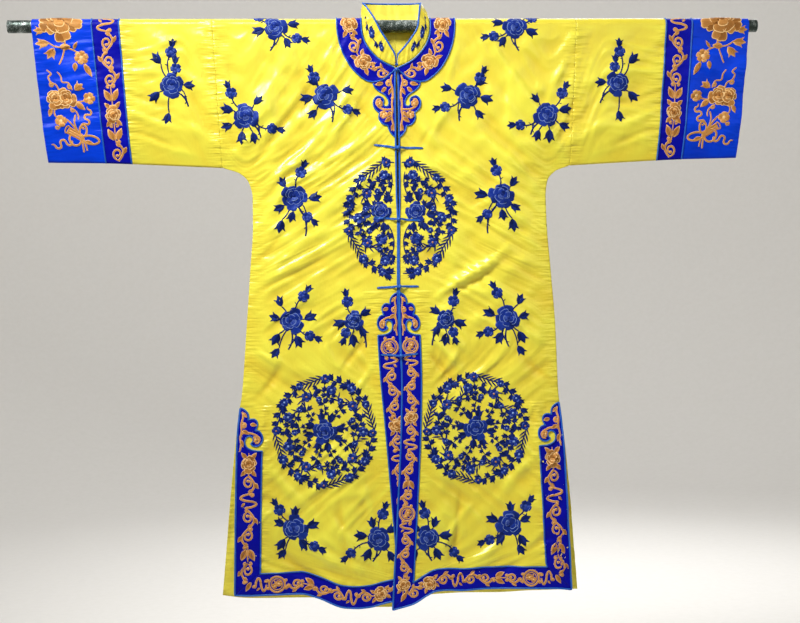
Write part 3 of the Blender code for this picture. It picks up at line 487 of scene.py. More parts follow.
def crease_height(side, face, out, depth):
    """Height of all creases and the small unevenness, in metres, before it is calmed."""
    total = np.zeros(np.shape(out))
    rows = [(row, 1.0) for row in CREASES[side, face]]
    rows += [(row, SLEEVE_CREASE_SHARE[side, face]) for row in SLEEVE_CREASES]
    for row, share in rows:
        out_a, depth_a, out_b, depth_b, width, height, bend = np.array(row) * MM
        dx, dy = out_b - out_a, depth_b - depth_a
        span = math.hypot(dx, dy)
        t = ((out - out_a) * dx + (depth - depth_a) * dy) / span ** 2
        across = ((out - out_a) * dy - (depth - depth_a) * dx) / span - bend * 4 * t * (1 - t)
        along = np.sin(math.pi * np.clip((t + 0.1) / 1.2, 0.0, 1.0)) ** 1.2
        height = share * height * (1 + SKIRT_MORE * ease(0.55, 0.65, (depth_a + depth_b) / 2))
        wide = width * np.where(across > 0, CREASE_SOFT, CREASE_SHARP) * (0.6 + 0.4 * np.clip(t, 0, 1))
        total += np.where((t > -0.1) & (t < 1.1), height * along * np.exp(-(across / wide) ** 2), 0.0)
    shift = 1.7 * side + 2.9 * (face == BACK)
    warp = 0.006 * np.sin(out * 41 + depth * 13 + shift)
    for wave, angle, height, phase in RIPPLES:
        slant = math.radians(angle)
        run = (out + warp) * math.cos(slant) + (depth - warp) * math.sin(slant)
        total += height * MM * np.sin(2 * math.pi * run / wave + phase + shift)
    return total + fine_creases(side, face, out, depth) + puckers(side, face, out, depth)


def hang(side, face, out, depth):
    """Distance of the cloth's inner face from the robe's middle plane, with its creases."""
    seam = to_line(SEAMS[side], out, depth)
    near = np.minimum(seam / CLOSING, 1.0)
    reach = CLEAR / 2 + (FOLD_RADIUS - CLEAR / 2) * (1 - (1 - near) ** 2)
    column = 1 + side if face == FRONT else 3 + side
    reach = reach + ease(WAVE_START, HEM_LEVEL, depth) * follow(HEM_WAVES, out, column)
    middle = np.abs(out - 0.004) if face == FRONT else out
    calm = ease(0.0, FOLD_CALM, depth) * ease(0.0, SEAM_CALM, seam) * ease(0.0, MIDDLE_CALM, middle)
    calm = calm * (1 - 0.6 * ease(HEM_LEVEL - 0.05, HEM_LEVEL, depth))
    if face == FRONT:
        # The fronts lie flat where one laps over the other
        calm = calm * (1 - 0.9 * ease(LAP_TOP, LAP_FULL, depth) * ease(0.085, LAP_WIDE, out))
    crease = bpy.context.scene.robe_cloth.crease
    reach = reach + crease * calm * crease_height(side, face, out, depth)
    if face == FRONT and side == RIGHT:
        reach = reach + LAP * ease(LAP_TOP, LAP_FULL, depth) * ease(LAP_END, LAP_WIDE, out)
    return reach


def on_cloth(side, out, path, lift):
    """Points this far out of the cloth's inner face, as an array of x, y, z."""
    out, path, lift = (np.asarray(given, float) for given in np.broadcast_arrays(out, path, lift))
    turn = np.clip(path / FOLD_RADIUS, -math.pi / 2, math.pi / 2)
    y = -(FOLD_RADIUS + lift) * np.sin(turn)
    z = (FOLD_RADIUS + lift) * np.cos(turn)
    depth = np.abs(path) - QUARTER
    for face, here in ((FRONT, path > QUARTER), (BACK, path < -QUARTER)):
        if here.any():
            y[here] = -face * (hang(side, face, out[here], depth[here]) + lift[here])
            z[here] = -depth[here]
    return np.stack([SIGN[side] * out, y, z], axis=-1)


def path_of(face, depth):
    return face * (QUARTER + depth)


def neck_out(path):
    path = np.asarray(path, float)
    front = follow(NECKLINE, path - QUARTER, 1)
    behind = follow(BACK_NECK, -path / QUARTER, 1)
    return np.where(path >= QUARTER, front, np.where(path >= 0, NECK_HALF, behind))


def inner_out(side, path):
    path = np.asarray(path, float)
    edge = follow(FRONT_EDGE, path - QUARTER, 1 + side)
    inner = np.where(path - QUARTER >= NECK_DEPTH, edge, neck_out(path))
    return np.where(path <= -QUARTER, 0.0, inner)


def seam_out(seam, depth):
    return seam[0] + (seam[1] - seam[0]) * depth / seam[2]


def outer_out(side, path):
    depth = np.maximum(np.abs(path) - QUARTER, 0.0)
    edge = follow(SIDE_EDGE, depth, 1 + side)
    behind = follow(BACK_EDGE, depth, 1 + side)
    edge = np.where((np.asarray(path) < 0) & (depth > SLIT_APEX), behind, edge)
    return np.where(depth <= SLEEVE_SEAM[2], seam_out(SLEEVE_SEAM, depth), edge)


def hem_depth(side, face, level, out):
    """Levels near the hem follow its dips."""
    hem = follow(FRONT_HEM if face == FRONT else BACK_HEM, out, 1 + side)
    below = HEM_START + (hem - HEM_START) * (level - HEM_START) / (HEM_LEVEL - HEM_START)
    return np.where(level <= HEM_START, level, below)


def steps(stops):
    """Values through stops of (end, step), starting at the first."""
    values = [stops[0]]
    for end, step in stops[1:]:
        count = max(1, round(abs(end - values[-1]) / step))
        values += list(np.linspace(values[-1], end, count + 1)[1:])
    return np.array(values)


def shares(width, cell):
    """Shares across a piece, closer together at its two seams."""
    near = [0.0, SEAM_ROUND / 2 / width, SEAM_ROUND / width]
    middle = list(np.linspace(near[-1], 1 - near[-1], max(2, round(width / cell)) + 1)[1:-1])
    return np.array(near + middle + [1 - value for value in reversed(near)])


def round_edges(share, width, seams=(True, True)):
    """How far the cloth dips where it turns into a seam on its first and last side."""
    dip = np.zeros(np.shape(share))
    for is_seam, from_edge in zip(seams, (share * width, (1 - share) * width)):
        if is_seam:
            dip = np.maximum(dip, SEAM_DIP * (1 - ease(0.0, SEAM_ROUND, from_edge)))
    return dip


def new_mesh(name, points, faces):
    """A smooth mesh in the scene from an array of points and lists of their numbers."""
    mesh = bpy.data.meshes.new(name)
    mesh.from_pydata([tuple(point) for point in points], [], [tuple(face) for face in faces])
    mesh.shade_smooth()
    mesh.update()
    thing = bpy.data.objects.new(name, mesh)
    bpy.context.scene.collection.objects.link(thing)
    return thing


def remember(mesh, name, values):
    """Keeps a number for each point, for the materials to read."""
    layer = mesh.attributes.new(name, "FLOAT", "POINT")
    layer.data.foreach_set("value", np.asarray(values, np.float32).ravel())


def lay_out(mesh, name, pairs):
    """A UV map from a pair of numbers for each point."""
    uv = mesh.uv_layers.new(name=name)
    loops = np.empty(len(mesh.loops), np.int32)
    mesh.loops.foreach_get("vertex_index", loops)
    uv.data.foreach_set("uv", np.asarray(pairs, np.float32)[loops].ravel())


def grid_faces(rows, columns, flip):
    index = np.arange(rows * columns).reshape(rows, columns)
    quads = np.stack([index[:-1, :-1], index[:-1, 1:], index[1:, 1:], index[1:, :-1]], axis=-1)
    quads = quads.reshape(-1, 4)
    return quads[:, ::-1] if flip else quads


def cloth_layers(thing, cut, drape, **values):
    """What a cloth's material reads: its cut, its way along the pull, and a number or more for its points."""
    lay_out(thing.data, "cut", cut)
    lay_out(thing.data, "drape", drape)
    for name, value in values.items():
        remember(thing.data, name, np.zeros(len(thing.data.vertices)) + np.ravel(value))


def thicken(thing, thickness, inside=0):
    """The wall of a shell that was made at its outer face."""
    wall = thing.modifiers.new("wall", "SOLIDIFY")
    wall.thickness = thickness
    wall.offset = -1.0
    wall.use_even_offset = False
    wall.material_offset = inside


def finish_piece(thing, materials, slot, replaced=()):
    """Gives a piece its materials and its body, and hides the solids that it stands for; slot is not used."""
    for name in materials:
        thing.data.materials.append(material_of(name))
    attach(thing, BODY)
    for node in replaced:
        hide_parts(node)


def painted_fold_shade(side, out, path):
    """How deep each point lies in a fold, from -1 on ridges to 1 in troughs; it sets the painted shade."""
    depth = np.abs(path) - QUARTER
    deep = np.zeros(np.shape(out))
    for face, here in ((FRONT, path > QUARTER), (BACK, path < -QUARTER)):
        if here.any():
            deep[here] = -crease_height(side, face, out[here], depth[here]) / (3.5 * MM)
    return np.clip(deep, -1.0, 1.0)


def cloth_piece(label, side, grid, material, slot, pull, seams):
    """A shell from a grid of out and path, with its wall and its cut as a UV map; its flat area is worked
    out, not kept.
    """
    out, path = grid
    from_inner = out - out[:, :1]
    full = np.maximum(out[:, -1:] - out[:, :1], 1e-6)
    points = on_cloth(side, out, path, CLOTH - round_edges(from_inner / full, full, seams)).reshape(-1, 3)
    thing = new_mesh(f"{label}_cloth_{SIDE_NAME[side]}", points, grid_faces(*out.shape, side == LEFT))
    along, across, _, sleeve = pull_lines(out.ravel(), np.abs(path.ravel()))
    # The hollow attribute sets how much painted shade each point of the satin gets
    cloth_layers(thing, pair(out.ravel(), path.ravel()), pair(along, across),
                 strain=1 - 4 * sleeve * (1 - sleeve), hollow=painted_fold_shade(side, out, path),
                 pull=pull(path, from_inner, full - from_inner))
    thicken(thing, CLOTH - 0.0002, inside=1)
    finish_piece(thing, [material, "silk_lining_pale"], slot, [f"{label}_{SIDE_NAME[side]}"])
    sheet_area(out, path)


def sheet_area(out, path):
    """Flat area of a grid of out and path."""
    ax, ay = np.diff(out, axis=1)[:-1], np.diff(path, axis=1)[:-1]
    bx, by = np.diff(out, axis=0)[:, :-1], np.diff(path, axis=0)[:, :-1]
    return float(np.abs(ax * by - ay * bx).sum())


def near_edges(reach, amount):
    """How strongly the cloth is puckered: most at its first and last edge."""
    def pull(path, from_inner, from_outer):
        return amount * np.maximum(1 - from_inner / reach, 1 - from_outer / reach).clip(0, 1) ** 1.5
    return pull


def socket_of(value):
    """A node stands for its Fac output where it has one, and else for its first output."""
    return value.outputs.get("Fac", value.outputs[0]) if isinstance(value, bpy.types.Node) else value


def add(tree, kind, stops=(), **values):
    """Adds a node: settings by their name, inputs by their label with _ for spaces or by "in" and their
    number, nodes and sockets as links, and a ramp's stops as places and colours."""
    node = tree.nodes.new(kind)
    for name, value in values.items():
        value = socket_of(value)
        linked = isinstance(value, bpy.types.NodeSocket)
        if hasattr(node, name) and not linked:
            setattr(node, name, value)
            continue
        label = name.replace("_", " ")
        socket = node.inputs[int(label[2:])] if label.startswith("in") else node.inputs[label]
        if linked:
            tree.links.new(value, socket)
        else:
            socket.default_value = value
    for number, (place, tone) in enumerate(stops):
        ramp = node.color_ramp.elements
        stop = ramp[number] if number < 2 else ramp.new(place)
        stop.position, stop.color = place, rgba(tone)
    return node


def start_material(name):
    material = bpy.data.materials.new(name)
    material.use_nodes = True
    tree = material.node_tree
    tree.nodes.clear()
    return material, tree


def end_material(material, tree, shader):
    add(tree, "ShaderNodeOutputMaterial", Surface=shader)
    return material


def rgba(colour_value):
    return (*colour_value, 1.0)


# Silk satin: warp floats lie side by side on the face, so it is smooth and glossy along one direction. Real
# floats are about 0.1 mm apart; they are drawn 0.9 mm apart so that the weave shows at all.
FLOAT_SPACING = 0.0009
SATIN_IOR = 1.54


def silk_satin(name, face, deep, rough, sheen, streak=1.0, gloss=0.5, pale=0.35):
    material, tree = start_material(name)
    cut = add(tree, "ShaderNodeUVMap", uv_map="cut")
    floats = add(tree, "ShaderNodeMapping", Vector=cut, Scale=(1 / FLOAT_SPACING, 14.0, 1.0))
    weave = add(tree, "ShaderNodeTexNoise", Vector=floats, Scale=1.0, Detail=2.0)
    # Soft small wrinkles of a cloth that was folded, about 40 mm long and 16 mm apart
    slant = add(tree, "ShaderNodeMapping", Vector=cut, Rotation=(0.0, 0.0, 0.6), Scale=(62.0, 24.0, 1.0))
    small = add(tree, "ShaderNodeTexNoise", Vector=slant, Scale=1.0, Detail=3.0, Roughness=0.45)
    # Puckers: short ridges across a seam, about 8 mm apart
    across = add(tree, "ShaderNodeMapping", Vector=cut, Scale=(24.0, 130.0, 1.0))
    pucker = add(tree, "ShaderNodeTexNoise", Vector=across, Scale=1.0, Detail=1.5)
    pull = add(tree, "ShaderNodeAttribute", attribute_name="pull")
    puckered = add(tree, "ShaderNodeMath", operation="MULTIPLY", in0=pucker, in1=pull)
    bump = add(tree, "ShaderNodeBump", Height=small, Strength=0.32 * streak, Distance=0.0030)
    # Fine creases along the lines of pull, about 22 mm apart, in some places more than in others
    drape = add(tree, "ShaderNodeUVMap", uv_map="drape")
    drape = add(tree, "ShaderNodeMapping", Vector=drape, Scale=(7.0, 46.0, 1.0))
    crease = add(tree, "ShaderNodeTexNoise", Vector=drape, Scale=1.0, Detail=1.5, Roughness=0.45,
                 Distortion=0.4)
    patch = add(tree, "ShaderNodeTexNoise", Vector=cut, Scale=6.5, Detail=1.0)
    patch = add(tree, "ShaderNodeMapRange", Value=patch, From_Min=0.42, From_Max=0.66)
    strain = add(tree, "ShaderNodeAttribute", attribute_name="strain")
    where = add(tree, "ShaderNodeMath", operation="MULTIPLY", in0=patch, in1=strain)
    crease = add(tree, "ShaderNodeMath", operation="MULTIPLY", in0=crease, in1=where)
    for height, strength, distance in ((crease, 0.55 * streak, 0.0075), (puckered, 1.0, 0.0050),
                                       (weave, 0.06, 0.0004)):
        bump = add(tree, "ShaderNodeBump", Height=height, Strength=strength, Distance=distance, Normal=bump)
    # Colour: painted shade from the deep colour in crease troughs, plus some of it everywhere in random
    # clouds
    hollow = add(tree, "ShaderNodeAttribute", attribute_name="hollow")
    cloud = add(tree, "ShaderNodeTexNoise", Vector=cut, Scale=9.0, Detail=2.0)
    shade = add(tree, "ShaderNodeMath", operation="MULTIPLY_ADD", in0=hollow, in1=0.26, in2=0.21)
    shade = add(tree, "ShaderNodeMath", operation="MULTIPLY_ADD", in0=cloud, in1=0.18, in2=shade,
                use_clamp=True)
    mix = add(tree, "ShaderNodeMix", data_type="RGBA", in0=shade, in6=rgba(face), in7=rgba(deep))
    thread = add(tree, "ShaderNodeMath", operation="MULTIPLY_ADD", in0=weave, in1=0.08, in2=0.96)
    tint = add(tree, "ShaderNodeVectorMath", operation="SCALE", in0=mix.outputs[2], in3=thread)
    gleam = rgba(pale + (1 - pale) * c for c in face)
    tangent = add(tree, "ShaderNodeTangent", direction_type="UV_MAP", uv_map="cut")
    roughness = add(tree, "ShaderNodeMath", operation="MULTIPLY_ADD", in0=cloud, in1=0.10, in2=rough - 0.05)
    shader = add(tree, "ShaderNodeBsdfPrincipled", Base_Color=tint, IOR=SATIN_IOR, Roughness=roughness,
                 Normal=bump, Anisotropic=0.55, Tangent=tangent, Specular_IOR_Level=gloss,
                 Specular_Tint=gleam, Sheen_Weight=sheen, Sheen_Roughness=0.35, Sheen_Tint=gleam)
    return end_material(material, tree, shader)


# Corded satin: a bias strip sewn round a cord, so its floats run slantwise round it. Real floats are about
# 0.1 mm apart; their bands are drawn about 1 mm wide.
CORD_SPACING = 0.0011


def satin_cord(name, face):
    material, tree = start_material(name)
    run = add(tree, "ShaderNodeUVMap", uv_map="cut")
    slant = add(tree, "ShaderNodeMapping", Vector=run, Rotation=(0.0, 0.0, 0.7),
                Scale=(1 / CORD_SPACING, 1 / CORD_SPACING, 1.0))
    bands = add(tree, "ShaderNodeTexWave", Vector=slant, Scale=0.35, Distortion=1.2, Detail=1.0)
    bump = add(tree, "ShaderNodeBump", Height=bands, Strength=0.25, Distance=0.0004)
    spots = add(tree, "ShaderNodeTexNoise", Vector=run, Scale=60.0, Detail=2.0)
    share = add(tree, "ShaderNodeMath", operation="MULTIPLY_ADD", in0=spots, in1=0.5, in2=0.72)
    tint = add(tree, "ShaderNodeVectorMath", operation="SCALE", in0=face, in3=share)
    shader = add(tree, "ShaderNodeBsdfPrincipled", Base_Color=tint, IOR=SATIN_IOR, Roughness=0.42,
                 Normal=bump, Sheen_Weight=0.25, Sheen_Roughness=0.4, Sheen_Tint=rgba(face))
    return end_material(material, tree, shader)


# Silk floss in satin stitch: strands lie side by side across each shape and gleam together. Real strands are
# about 0.3 mm apart; they are drawn 0.7 mm apart.
STRAND_SPACING = 0.0007


def silk_floss(name, middle, dark, light):
    material, tree = start_material(name)
    strand = add(tree, "ShaderNodeUVMap", uv_map="thread")
    scaled = add(tree, "ShaderNodeMapping", Vector=strand, Scale=(1 / STRAND_SPACING, 60.0, 1.0))
    strands = add(tree, "ShaderNodeTexNoise", Vector=scaled, Scale=1.0, Detail=2.0)
    bump = add(tree, "ShaderNodeBump", Height=strands, Strength=0.45, Distance=0.0004)
    tone = add(tree, "ShaderNodeAttribute", attribute_name="tone")
    uneven = add(tree, "ShaderNodeMath", operation="MULTIPLY_ADD", in0=strands, in1=0.50, in2=tone)
    place = add(tree, "ShaderNodeMath", operation="SUBTRACT", in0=uneven, in1=0.25, use_clamp=True)
    ramp = add(tree, "ShaderNodeValToRGB", Fac=place, stops=((0.0, dark), (1.0, light), (0.5, middle)))
    tangent = add(tree, "ShaderNodeTangent", direction_type="UV_MAP", uv_map="thread")
    shader = add(tree, "ShaderNodeBsdfPrincipled", Base_Color=ramp, IOR=SATIN_IOR, Roughness=0.42,
                 Normal=bump, Anisotropic=0.5, Tangent=tangent, Specular_IOR_Level=0.35,
                 Specular_Tint=rgba(light), Sheen_Weight=0.06, Sheen_Roughness=0.4, Sheen_Tint=rgba(light))
    return end_material(material, tree, shader)


# Steel tube with a hammered enamel: dark grey green, with pale silver flecks of about 3 mm where it dimples
FLECK_SIZE = 0.0032


def hammered_steel(name):
    material, tree = start_material(name)
    place = add(tree, "ShaderNodeTexCoord").outputs["Object"]
    cells = add(tree, "ShaderNodeTexVoronoi", Vector=place, Scale=1 / FLECK_SIZE, Randomness=1.0,
                feature="SMOOTH_F1", Smoothness=0.6)
    fine = add(tree, "ShaderNodeTexNoise", Vector=place, Scale=620.0, Detail=3.0, Roughness=0.7)
    broad = add(tree, "ShaderNodeTexNoise", Vector=place, Scale=70.0, Detail=2.0)
    both = add(tree, "ShaderNodeMath", operation="MULTIPLY_ADD", in0=broad, in1=0.7, in2=fine)
    flecks = add(tree, "ShaderNodeValToRGB", Fac=both,
                 stops=((0.86, linear("#39453F")), (1.0, linear("#B9C2BE"))))
    bump = add(tree, "ShaderNodeBump", Height=cells, Strength=0.55, Distance=0.0010)
    metal = add(tree, "ShaderNodeMath", operation="MULTIPLY_ADD", in0=fine, in1=0.5, in2=0.35)
    shader = add(tree, "ShaderNodeBsdfPrincipled", Base_Color=flecks, Metallic=metal, Roughness=0.38,
                 Normal=bump)
    return end_material(material, tree, shader)


# Matt studio paper, with a faint grain
def studio_paper(name):
    material, tree = start_material(name)
    place = add(tree, "ShaderNodeTexCoord").outputs["Object"]
    grain = add(tree, "ShaderNodeTexNoise", Vector=place, Scale=40.0, Detail=3.0)
    ramp = add(tree, "ShaderNodeValToRGB", Fac=grain,
               stops=((0.0, linear("#E6E4E0")), (1.0, linear("#EDEBE8"))))
    return end_material(material, tree, add(tree, "ShaderNodeBsdfPrincipled", Base_Color=ramp, Roughness=0.9))


MATERIALS = {}


def material_of(name):
    """Makes each material once, from the colours in the sidebar."""
    cloth, thread = bpy.context.scene.robe_cloth, bpy.context.scene.robe_thread
    makers = {
        # Each satin's second colour: a little everywhere, and painted shade in crease troughs
        "silk_satin_yellow": (silk_satin, cloth.body, cloth.body_deep_and_shade, 0.31, 0.22, 1.0, 0.75, 0.55),
        "silk_satin_royal": (silk_satin, cloth.cuff, linear("#05148C"), 0.40, 0.0, 1.0, 0.30),
        "silk_satin_ultramarine": (silk_satin, cloth.border, linear("#0A0470"), 0.46, 0.0, 0.4, 0.20),
        "silk_lining_pale": (silk_satin, cloth.lining, linear("#E6CE40"), 0.5, 0.2),
        "satin_cord_cerulean": (satin_cord, cloth.piping),
        "silk_floss_navy": (silk_floss, thread.navy, thread.navy_dark, thread.navy_light),
        "silk_floss_pale": (silk_floss, linear("#9DB8E4"), linear("#5F7FC0"), linear("#DCE8FA")),
        "silk_floss_copper": (silk_floss, thread.copper, thread.copper_dark, thread.copper_light),
        "hammered_steel": (hammered_steel,),
        "studio_paper": (studio_paper,),
    }
    if name not in MATERIALS:
        make, *looks = makers[name]
        MATERIALS[name] = make(name, *looks)
    return MATERIALS[name]


def body_grid(side):
    """Out and path of one half of the body, from the front hem over the rod to the back hem."""
    cell, back = bpy.context.scene.robe_cloth.cell, bpy.context.scene.robe_cloth.back_cell
    front = steps((HEM_LEVEL, (0.32, cell), (0.27, cell / 2), (0.1, cell), (0.0, cell * 0.7)))
    over = steps((QUARTER, (-QUARTER, cell / 2)))[1:-1]
    behind = steps((0.0, (0.27, back), (0.32, back / 2), (HEM_LEVEL, back)))[1:]
    share = shares(0.34, cell * 1.05)
    rows = []
    for face, levels in ((FRONT, front), (None, over), (BACK, behind)):
        for level in levels:
            path = level if face is None else path_of(face, level)
            inner, outer = inner_out(side, path), outer_out(side, path)
            out = inner + (outer - inner) * share
            if face is not None:
                path = path_of(face, hem_depth(side, face, level, out))
            rows.append(np.broadcast_arrays(out, path))
    return np.array(rows).swapaxes(0, 1)


def sleeve_cells(start, end, cell):
    """Out and path of a sleeve's piece between two cross seams, from the front over the rod to the back."""
    share = shares(end[0] - start[0], cell)
    level = steps((1.0, (0.0, cell / 0.27)))
    bottom = start[2] + (end[2] - start[2]) * share
    rows = {FRONT: [], BACK: []}
    for face in (FRONT, BACK):
        for one in level if face == FRONT else level[::-1]:
            inner, outer = seam_out(start, one * start[2]), seam_out(end, one * end[2])
            rows[face].append((inner + (outer - inner) * share, path_of(face, one * bottom)))
    over = [np.broadcast_arrays(start[0] + (end[0] - start[0]) * share, path)
            for path in steps((QUARTER, (-QUARTER, 0.002)))[1:-1]]
    return np.array(rows[FRONT] + over + rows[BACK]).swapaxes(0, 1)


def body_pull(side):
    """Puckers beside the sleeve seam, the side seam and the borders."""
    def pull(path, from_inner, from_outer):
        depth = np.abs(path) - QUARTER
        front = path > 0
        strength = 0.75 * (1 - from_outer / 0.045).clip(0, 1) ** 1.4
        slit = 0.9 * (1 - np.abs(from_outer - SLIT_BORDER) / 0.028).clip(0, 1)
        strength = np.where(front & (depth > SLIT_APEX), slit, strength)
        beside = 0.8 * (1 - np.abs(from_inner - FRONT_BORDER[side]) / 0.03).clip(0, 1)
        edge = np.where(front, 0.5 * (1 - from_inner / 0.03).clip(0, 1), 0.0)
        return np.maximum(strength, np.where(front & (depth > FRONT_APEX), beside, edge))
    return pull


def shifted(seam, by):
    return (seam[0] + by, seam[1] + by, seam[2])


ROD_RIM, ROD_WALL = 0.0009, 0.0014


class ROBE_OT_rod(bpy.types.Operator):
    """Make the steel rod, turned from one profile with its rims broken"""
    bl_idname = "robe.rod"
    bl_label = "Rod"

    def execute(self, context):
        left, right = ROD_ENDS
        hollow, broken = ROD_RADIUS - ROD_WALL, ROD_RIM * 0.3
        end = ((0.02, hollow), (ROD_RIM, hollow), (0.0, hollow + ROD_RIM / 2), (0.0, ROD_RADIUS - ROD_RIM),
               (broken, ROD_RADIUS - broken), (ROD_RIM, ROD_RADIUS))
        profile = [(left + inwards, radius) for inwards, radius in end]
        profile += [(left + (right - left) * k / 60, ROD_RADIUS) for k in range(1, 60)]
        profile += [(right - inwards, radius) for inwards, radius in reversed(end)]
        sides = context.scene.robe_stage.rod_sides
        points = [(x, radius * math.cos(turn), radius * math.sin(turn))
                  for x, radius in profile for turn in circle(sides)]
        rod = new_mesh("steel_rod", points, round_faces(len(profile), sides))
        rod.data.set_sharp_from_angle(angle=math.radians(40))
        finish_piece(rod, ["hammered_steel"], "rod", ["rod"])
        return {"FINISHED"}


class ROBE_OT_body(bpy.types.Operator):
    """Make the two halves of the body, each one cloth over the shoulder, with the lining inside"""
    bl_idname = "robe.body"
    bl_label = "Body"

    def execute(self, context):
        for side in SIDES:
            cloth_piece("body", side, body_grid(side), "silk_satin_yellow", "body_satin",
                        body_pull(side), (False, True))
        return {"FINISHED"}


class ROBE_OT_sleeves(bpy.types.Operator):
    """Make the sleeves, their dark bands and the royal blue cuffs"""
    bl_idname = "robe.sleeves"
    bl_label = "Sleeves"

    def execute(self, context):
        cell = context.scene.robe_cloth.cell
        pieces = (
            ("sleeve", SLEEVE_SEAM, BAND_SEAM, "yellow", "body_satin", 0.186, near_edges(0.040, 0.95)),
            ("sleeve_band", shifted(BAND_SEAM, CLEAR), CUFF_SEAM, "ultramarine", "border_satin", 0.055,
             near_edges(0.012, 0.35)),
            ("cuff", shifted(CUFF_SEAM, CLEAR), CUFF_END, "royal", "cuff_satin", 0.118,
             near_edges(0.035, 0.55)),
        )
        for side in SIDES:
            for label, start, end, dye, slot, width, pull in pieces:
                cells = sleeve_cells(start, end, cell)
                cloth_piece(label, side, cells, f"silk_satin_{dye}", slot, pull,
                            (True, label != "cuff"))
        return {"FINISHED"}


def smooth_line(points, per_span=6):
    """A Catmull-Rom curve through points, as an array."""
    points = np.asarray(points, float)
    padded = np.concatenate([2 * points[:1] - points[1:2], points, 2 * points[-1:] - points[-2:-1]])
    made = []
    for k in range(1, len(padded) - 2):
        p0, p1, p2, p3 = padded[k - 1:k + 3]
        for t in np.arange(per_span) / per_span:
            made.append(0.5 * (2 * p1 + (p2 - p0) * t + (2 * p0 - 5 * p1 + 4 * p2 - p3) * t * t
                               + (3 * p1 - p0 - 3 * p2 + p3) * t ** 3))
    return np.array(made + [points[-1]])


def smooth_runs(runs):
    """One line through runs of points that meet at cusps, smooth within each run."""
    lines = [smooth_line(run, 5) for run in runs]
    return np.concatenate([line[:-1] for line in lines[:-1]] + [lines[-1]])


def places_on(line, along, at):
    """Places on a line at these lengths, given the length at each of its points."""
    return np.stack([np.interp(at, along, column) for column in line.T], axis=-1)


def spaced(line, step):
    """The same line with points at even distances."""
    line = np.asarray(line, float)
    along = along_of(line)
    return places_on(line, along, np.linspace(0, along[-1], max(2, math.ceil(along[-1] / step)) + 1))


def levels(start, end):
    return np.linspace(start, end, max(2, round(abs(end - start) / 0.008)) + 1)


def front_line(side, across, start, end):
    depth = levels(start, end)
    return pair(follow(FRONT_EDGE, depth, 1 + side) + across, depth)


def slit_line(side, across, start, end):
    depth = levels(start, end)
    return pair(follow(SIDE_EDGE, depth, 1 + side) - across, depth)


def hem_line(side, above, start, end):
    out = levels(start, end)
    return pair(out, follow(FRONT_HEM, out, 1 + side) - above)


def corner(side, above, edge, across):
    """Where the hem border's line this far above the hem meets the line of the border beside it."""
    out = follow(edge, HEM_LEVEL, 1 + side) + across * above / HEM_BORDER
    return np.array([out, follow(FRONT_HEM, out, 1 + side) - above])


def front_corner(side, above):
    return corner(side, above, FRONT_EDGE, FRONT_BORDER[side])


def slit_corner(side, above):
    return corner(side, above, SIDE_EDGE, -SLIT_BORDER)


def head_line(side, apex, edge, across):
    """A cloud head's outline below its tip on an edge; across stretches it away from the robe's middle."""
    head = smooth_runs(CLOUD_HEAD)
    depth = apex + head[:, 1]
    return pair(follow(edge, depth, 1 + side) + head[:, 0] * across, depth)


def border_lines(side):
    """Inner lines of the borders on one front: front, hem and slit, each with its head or corner."""
    corner_in, slit_in = front_corner(side, HEM_BORDER), slit_corner(side, HEM_BORDER)
    front = front_line(side, FRONT_BORDER[side], FRONT_APEX + HEAD_HEIGHT, corner_in[1])
    slit = slit_line(side, SLIT_BORDER, SLIT_APEX + HEAD_HEIGHT, slit_in[1])
    front_head = head_line(side, FRONT_APEX, FRONT_EDGE, FRONT_BORDER[side] / HEAD_WIDTH)
    slit_head = head_line(side, SLIT_APEX, SIDE_EDGE, -1.0)
    return (np.concatenate([front_head, front[1:-1], [corner_in]]),
            hem_line(side, HEM_BORDER, corner_in[0], slit_in[0]),
            np.concatenate([slit_head, slit[1:-1], [slit_in]]))


def trim_sheet(label, side, points, faces, cut, pull, flat, area):
    """A dark cloth that is laid on the body, with its wall; flat and area are not used."""
    thing = new_mesh(f"{label}_cloth_{SIDE_NAME[side]}", points, faces)
    cloth_layers(thing, cut, cut, hollow=0.0, pull=pull)
    thicken(thing, TRIM - 0.0001)
    finish_piece(thing, ["silk_satin_ultramarine"], "border_satin", [f"{label}_{SIDE_NAME[side]}"])


def cut_sheet(label, side, ring, cell, flat):
    """A trim of any outline: its outline and an even grid inside, joined up."""
    low, high = ring.min(axis=0), ring.max(axis=0)
    xs, ys = (np.arange(low[k] + cell / 2, high[k], cell) for k in (0, 1))
    x, y = (axis.ravel() for axis in np.meshgrid(xs, ys))
    closed = np.concatenate([ring, ring[:1]])
    inside = np.zeros(len(x), bool)
    for (ax, ay), (bx, by) in zip(closed, closed[1:]):
        at = ax + (y - ay) * (bx - ax) / (by - ay if by != ay else 1.0)
        inside ^= ((ay > y) != (by > y)) & (x < at)
    grid = pair(x, y)[inside & (to_line(closed, x, y) > cell * 0.4)]
    flat_points = [Vector(point) for point in np.concatenate([ring, grid])]
    spots, _, faces = delaunay_2d_cdt(flat_points, [], [list(range(len(ring)))], 1, 1e-7)[:3]
    spots = np.array([tuple(point) for point in spots])
    a, b, c = (spots[[face[k] for face in faces]] for k in range(3))
    turned = (b - a)[:, 0] * (c - a)[:, 1] - (b - a)[:, 1] * (c - a)[:, 0]
    faces = [face if (way > 0) == (side == LEFT) else face[::-1] for face, way in zip(faces, turned)]
    pull = 0.25 * (1 - to_line(closed, *spots.T) / 0.012).clip(0, 1)
    trim_sheet(label, side, on_cloth(side, spots[:, 0], spots[:, 1] + QUARTER, TRIM_TOP), faces, spots, pull,
               flat, np.abs(turned).sum() / 2)


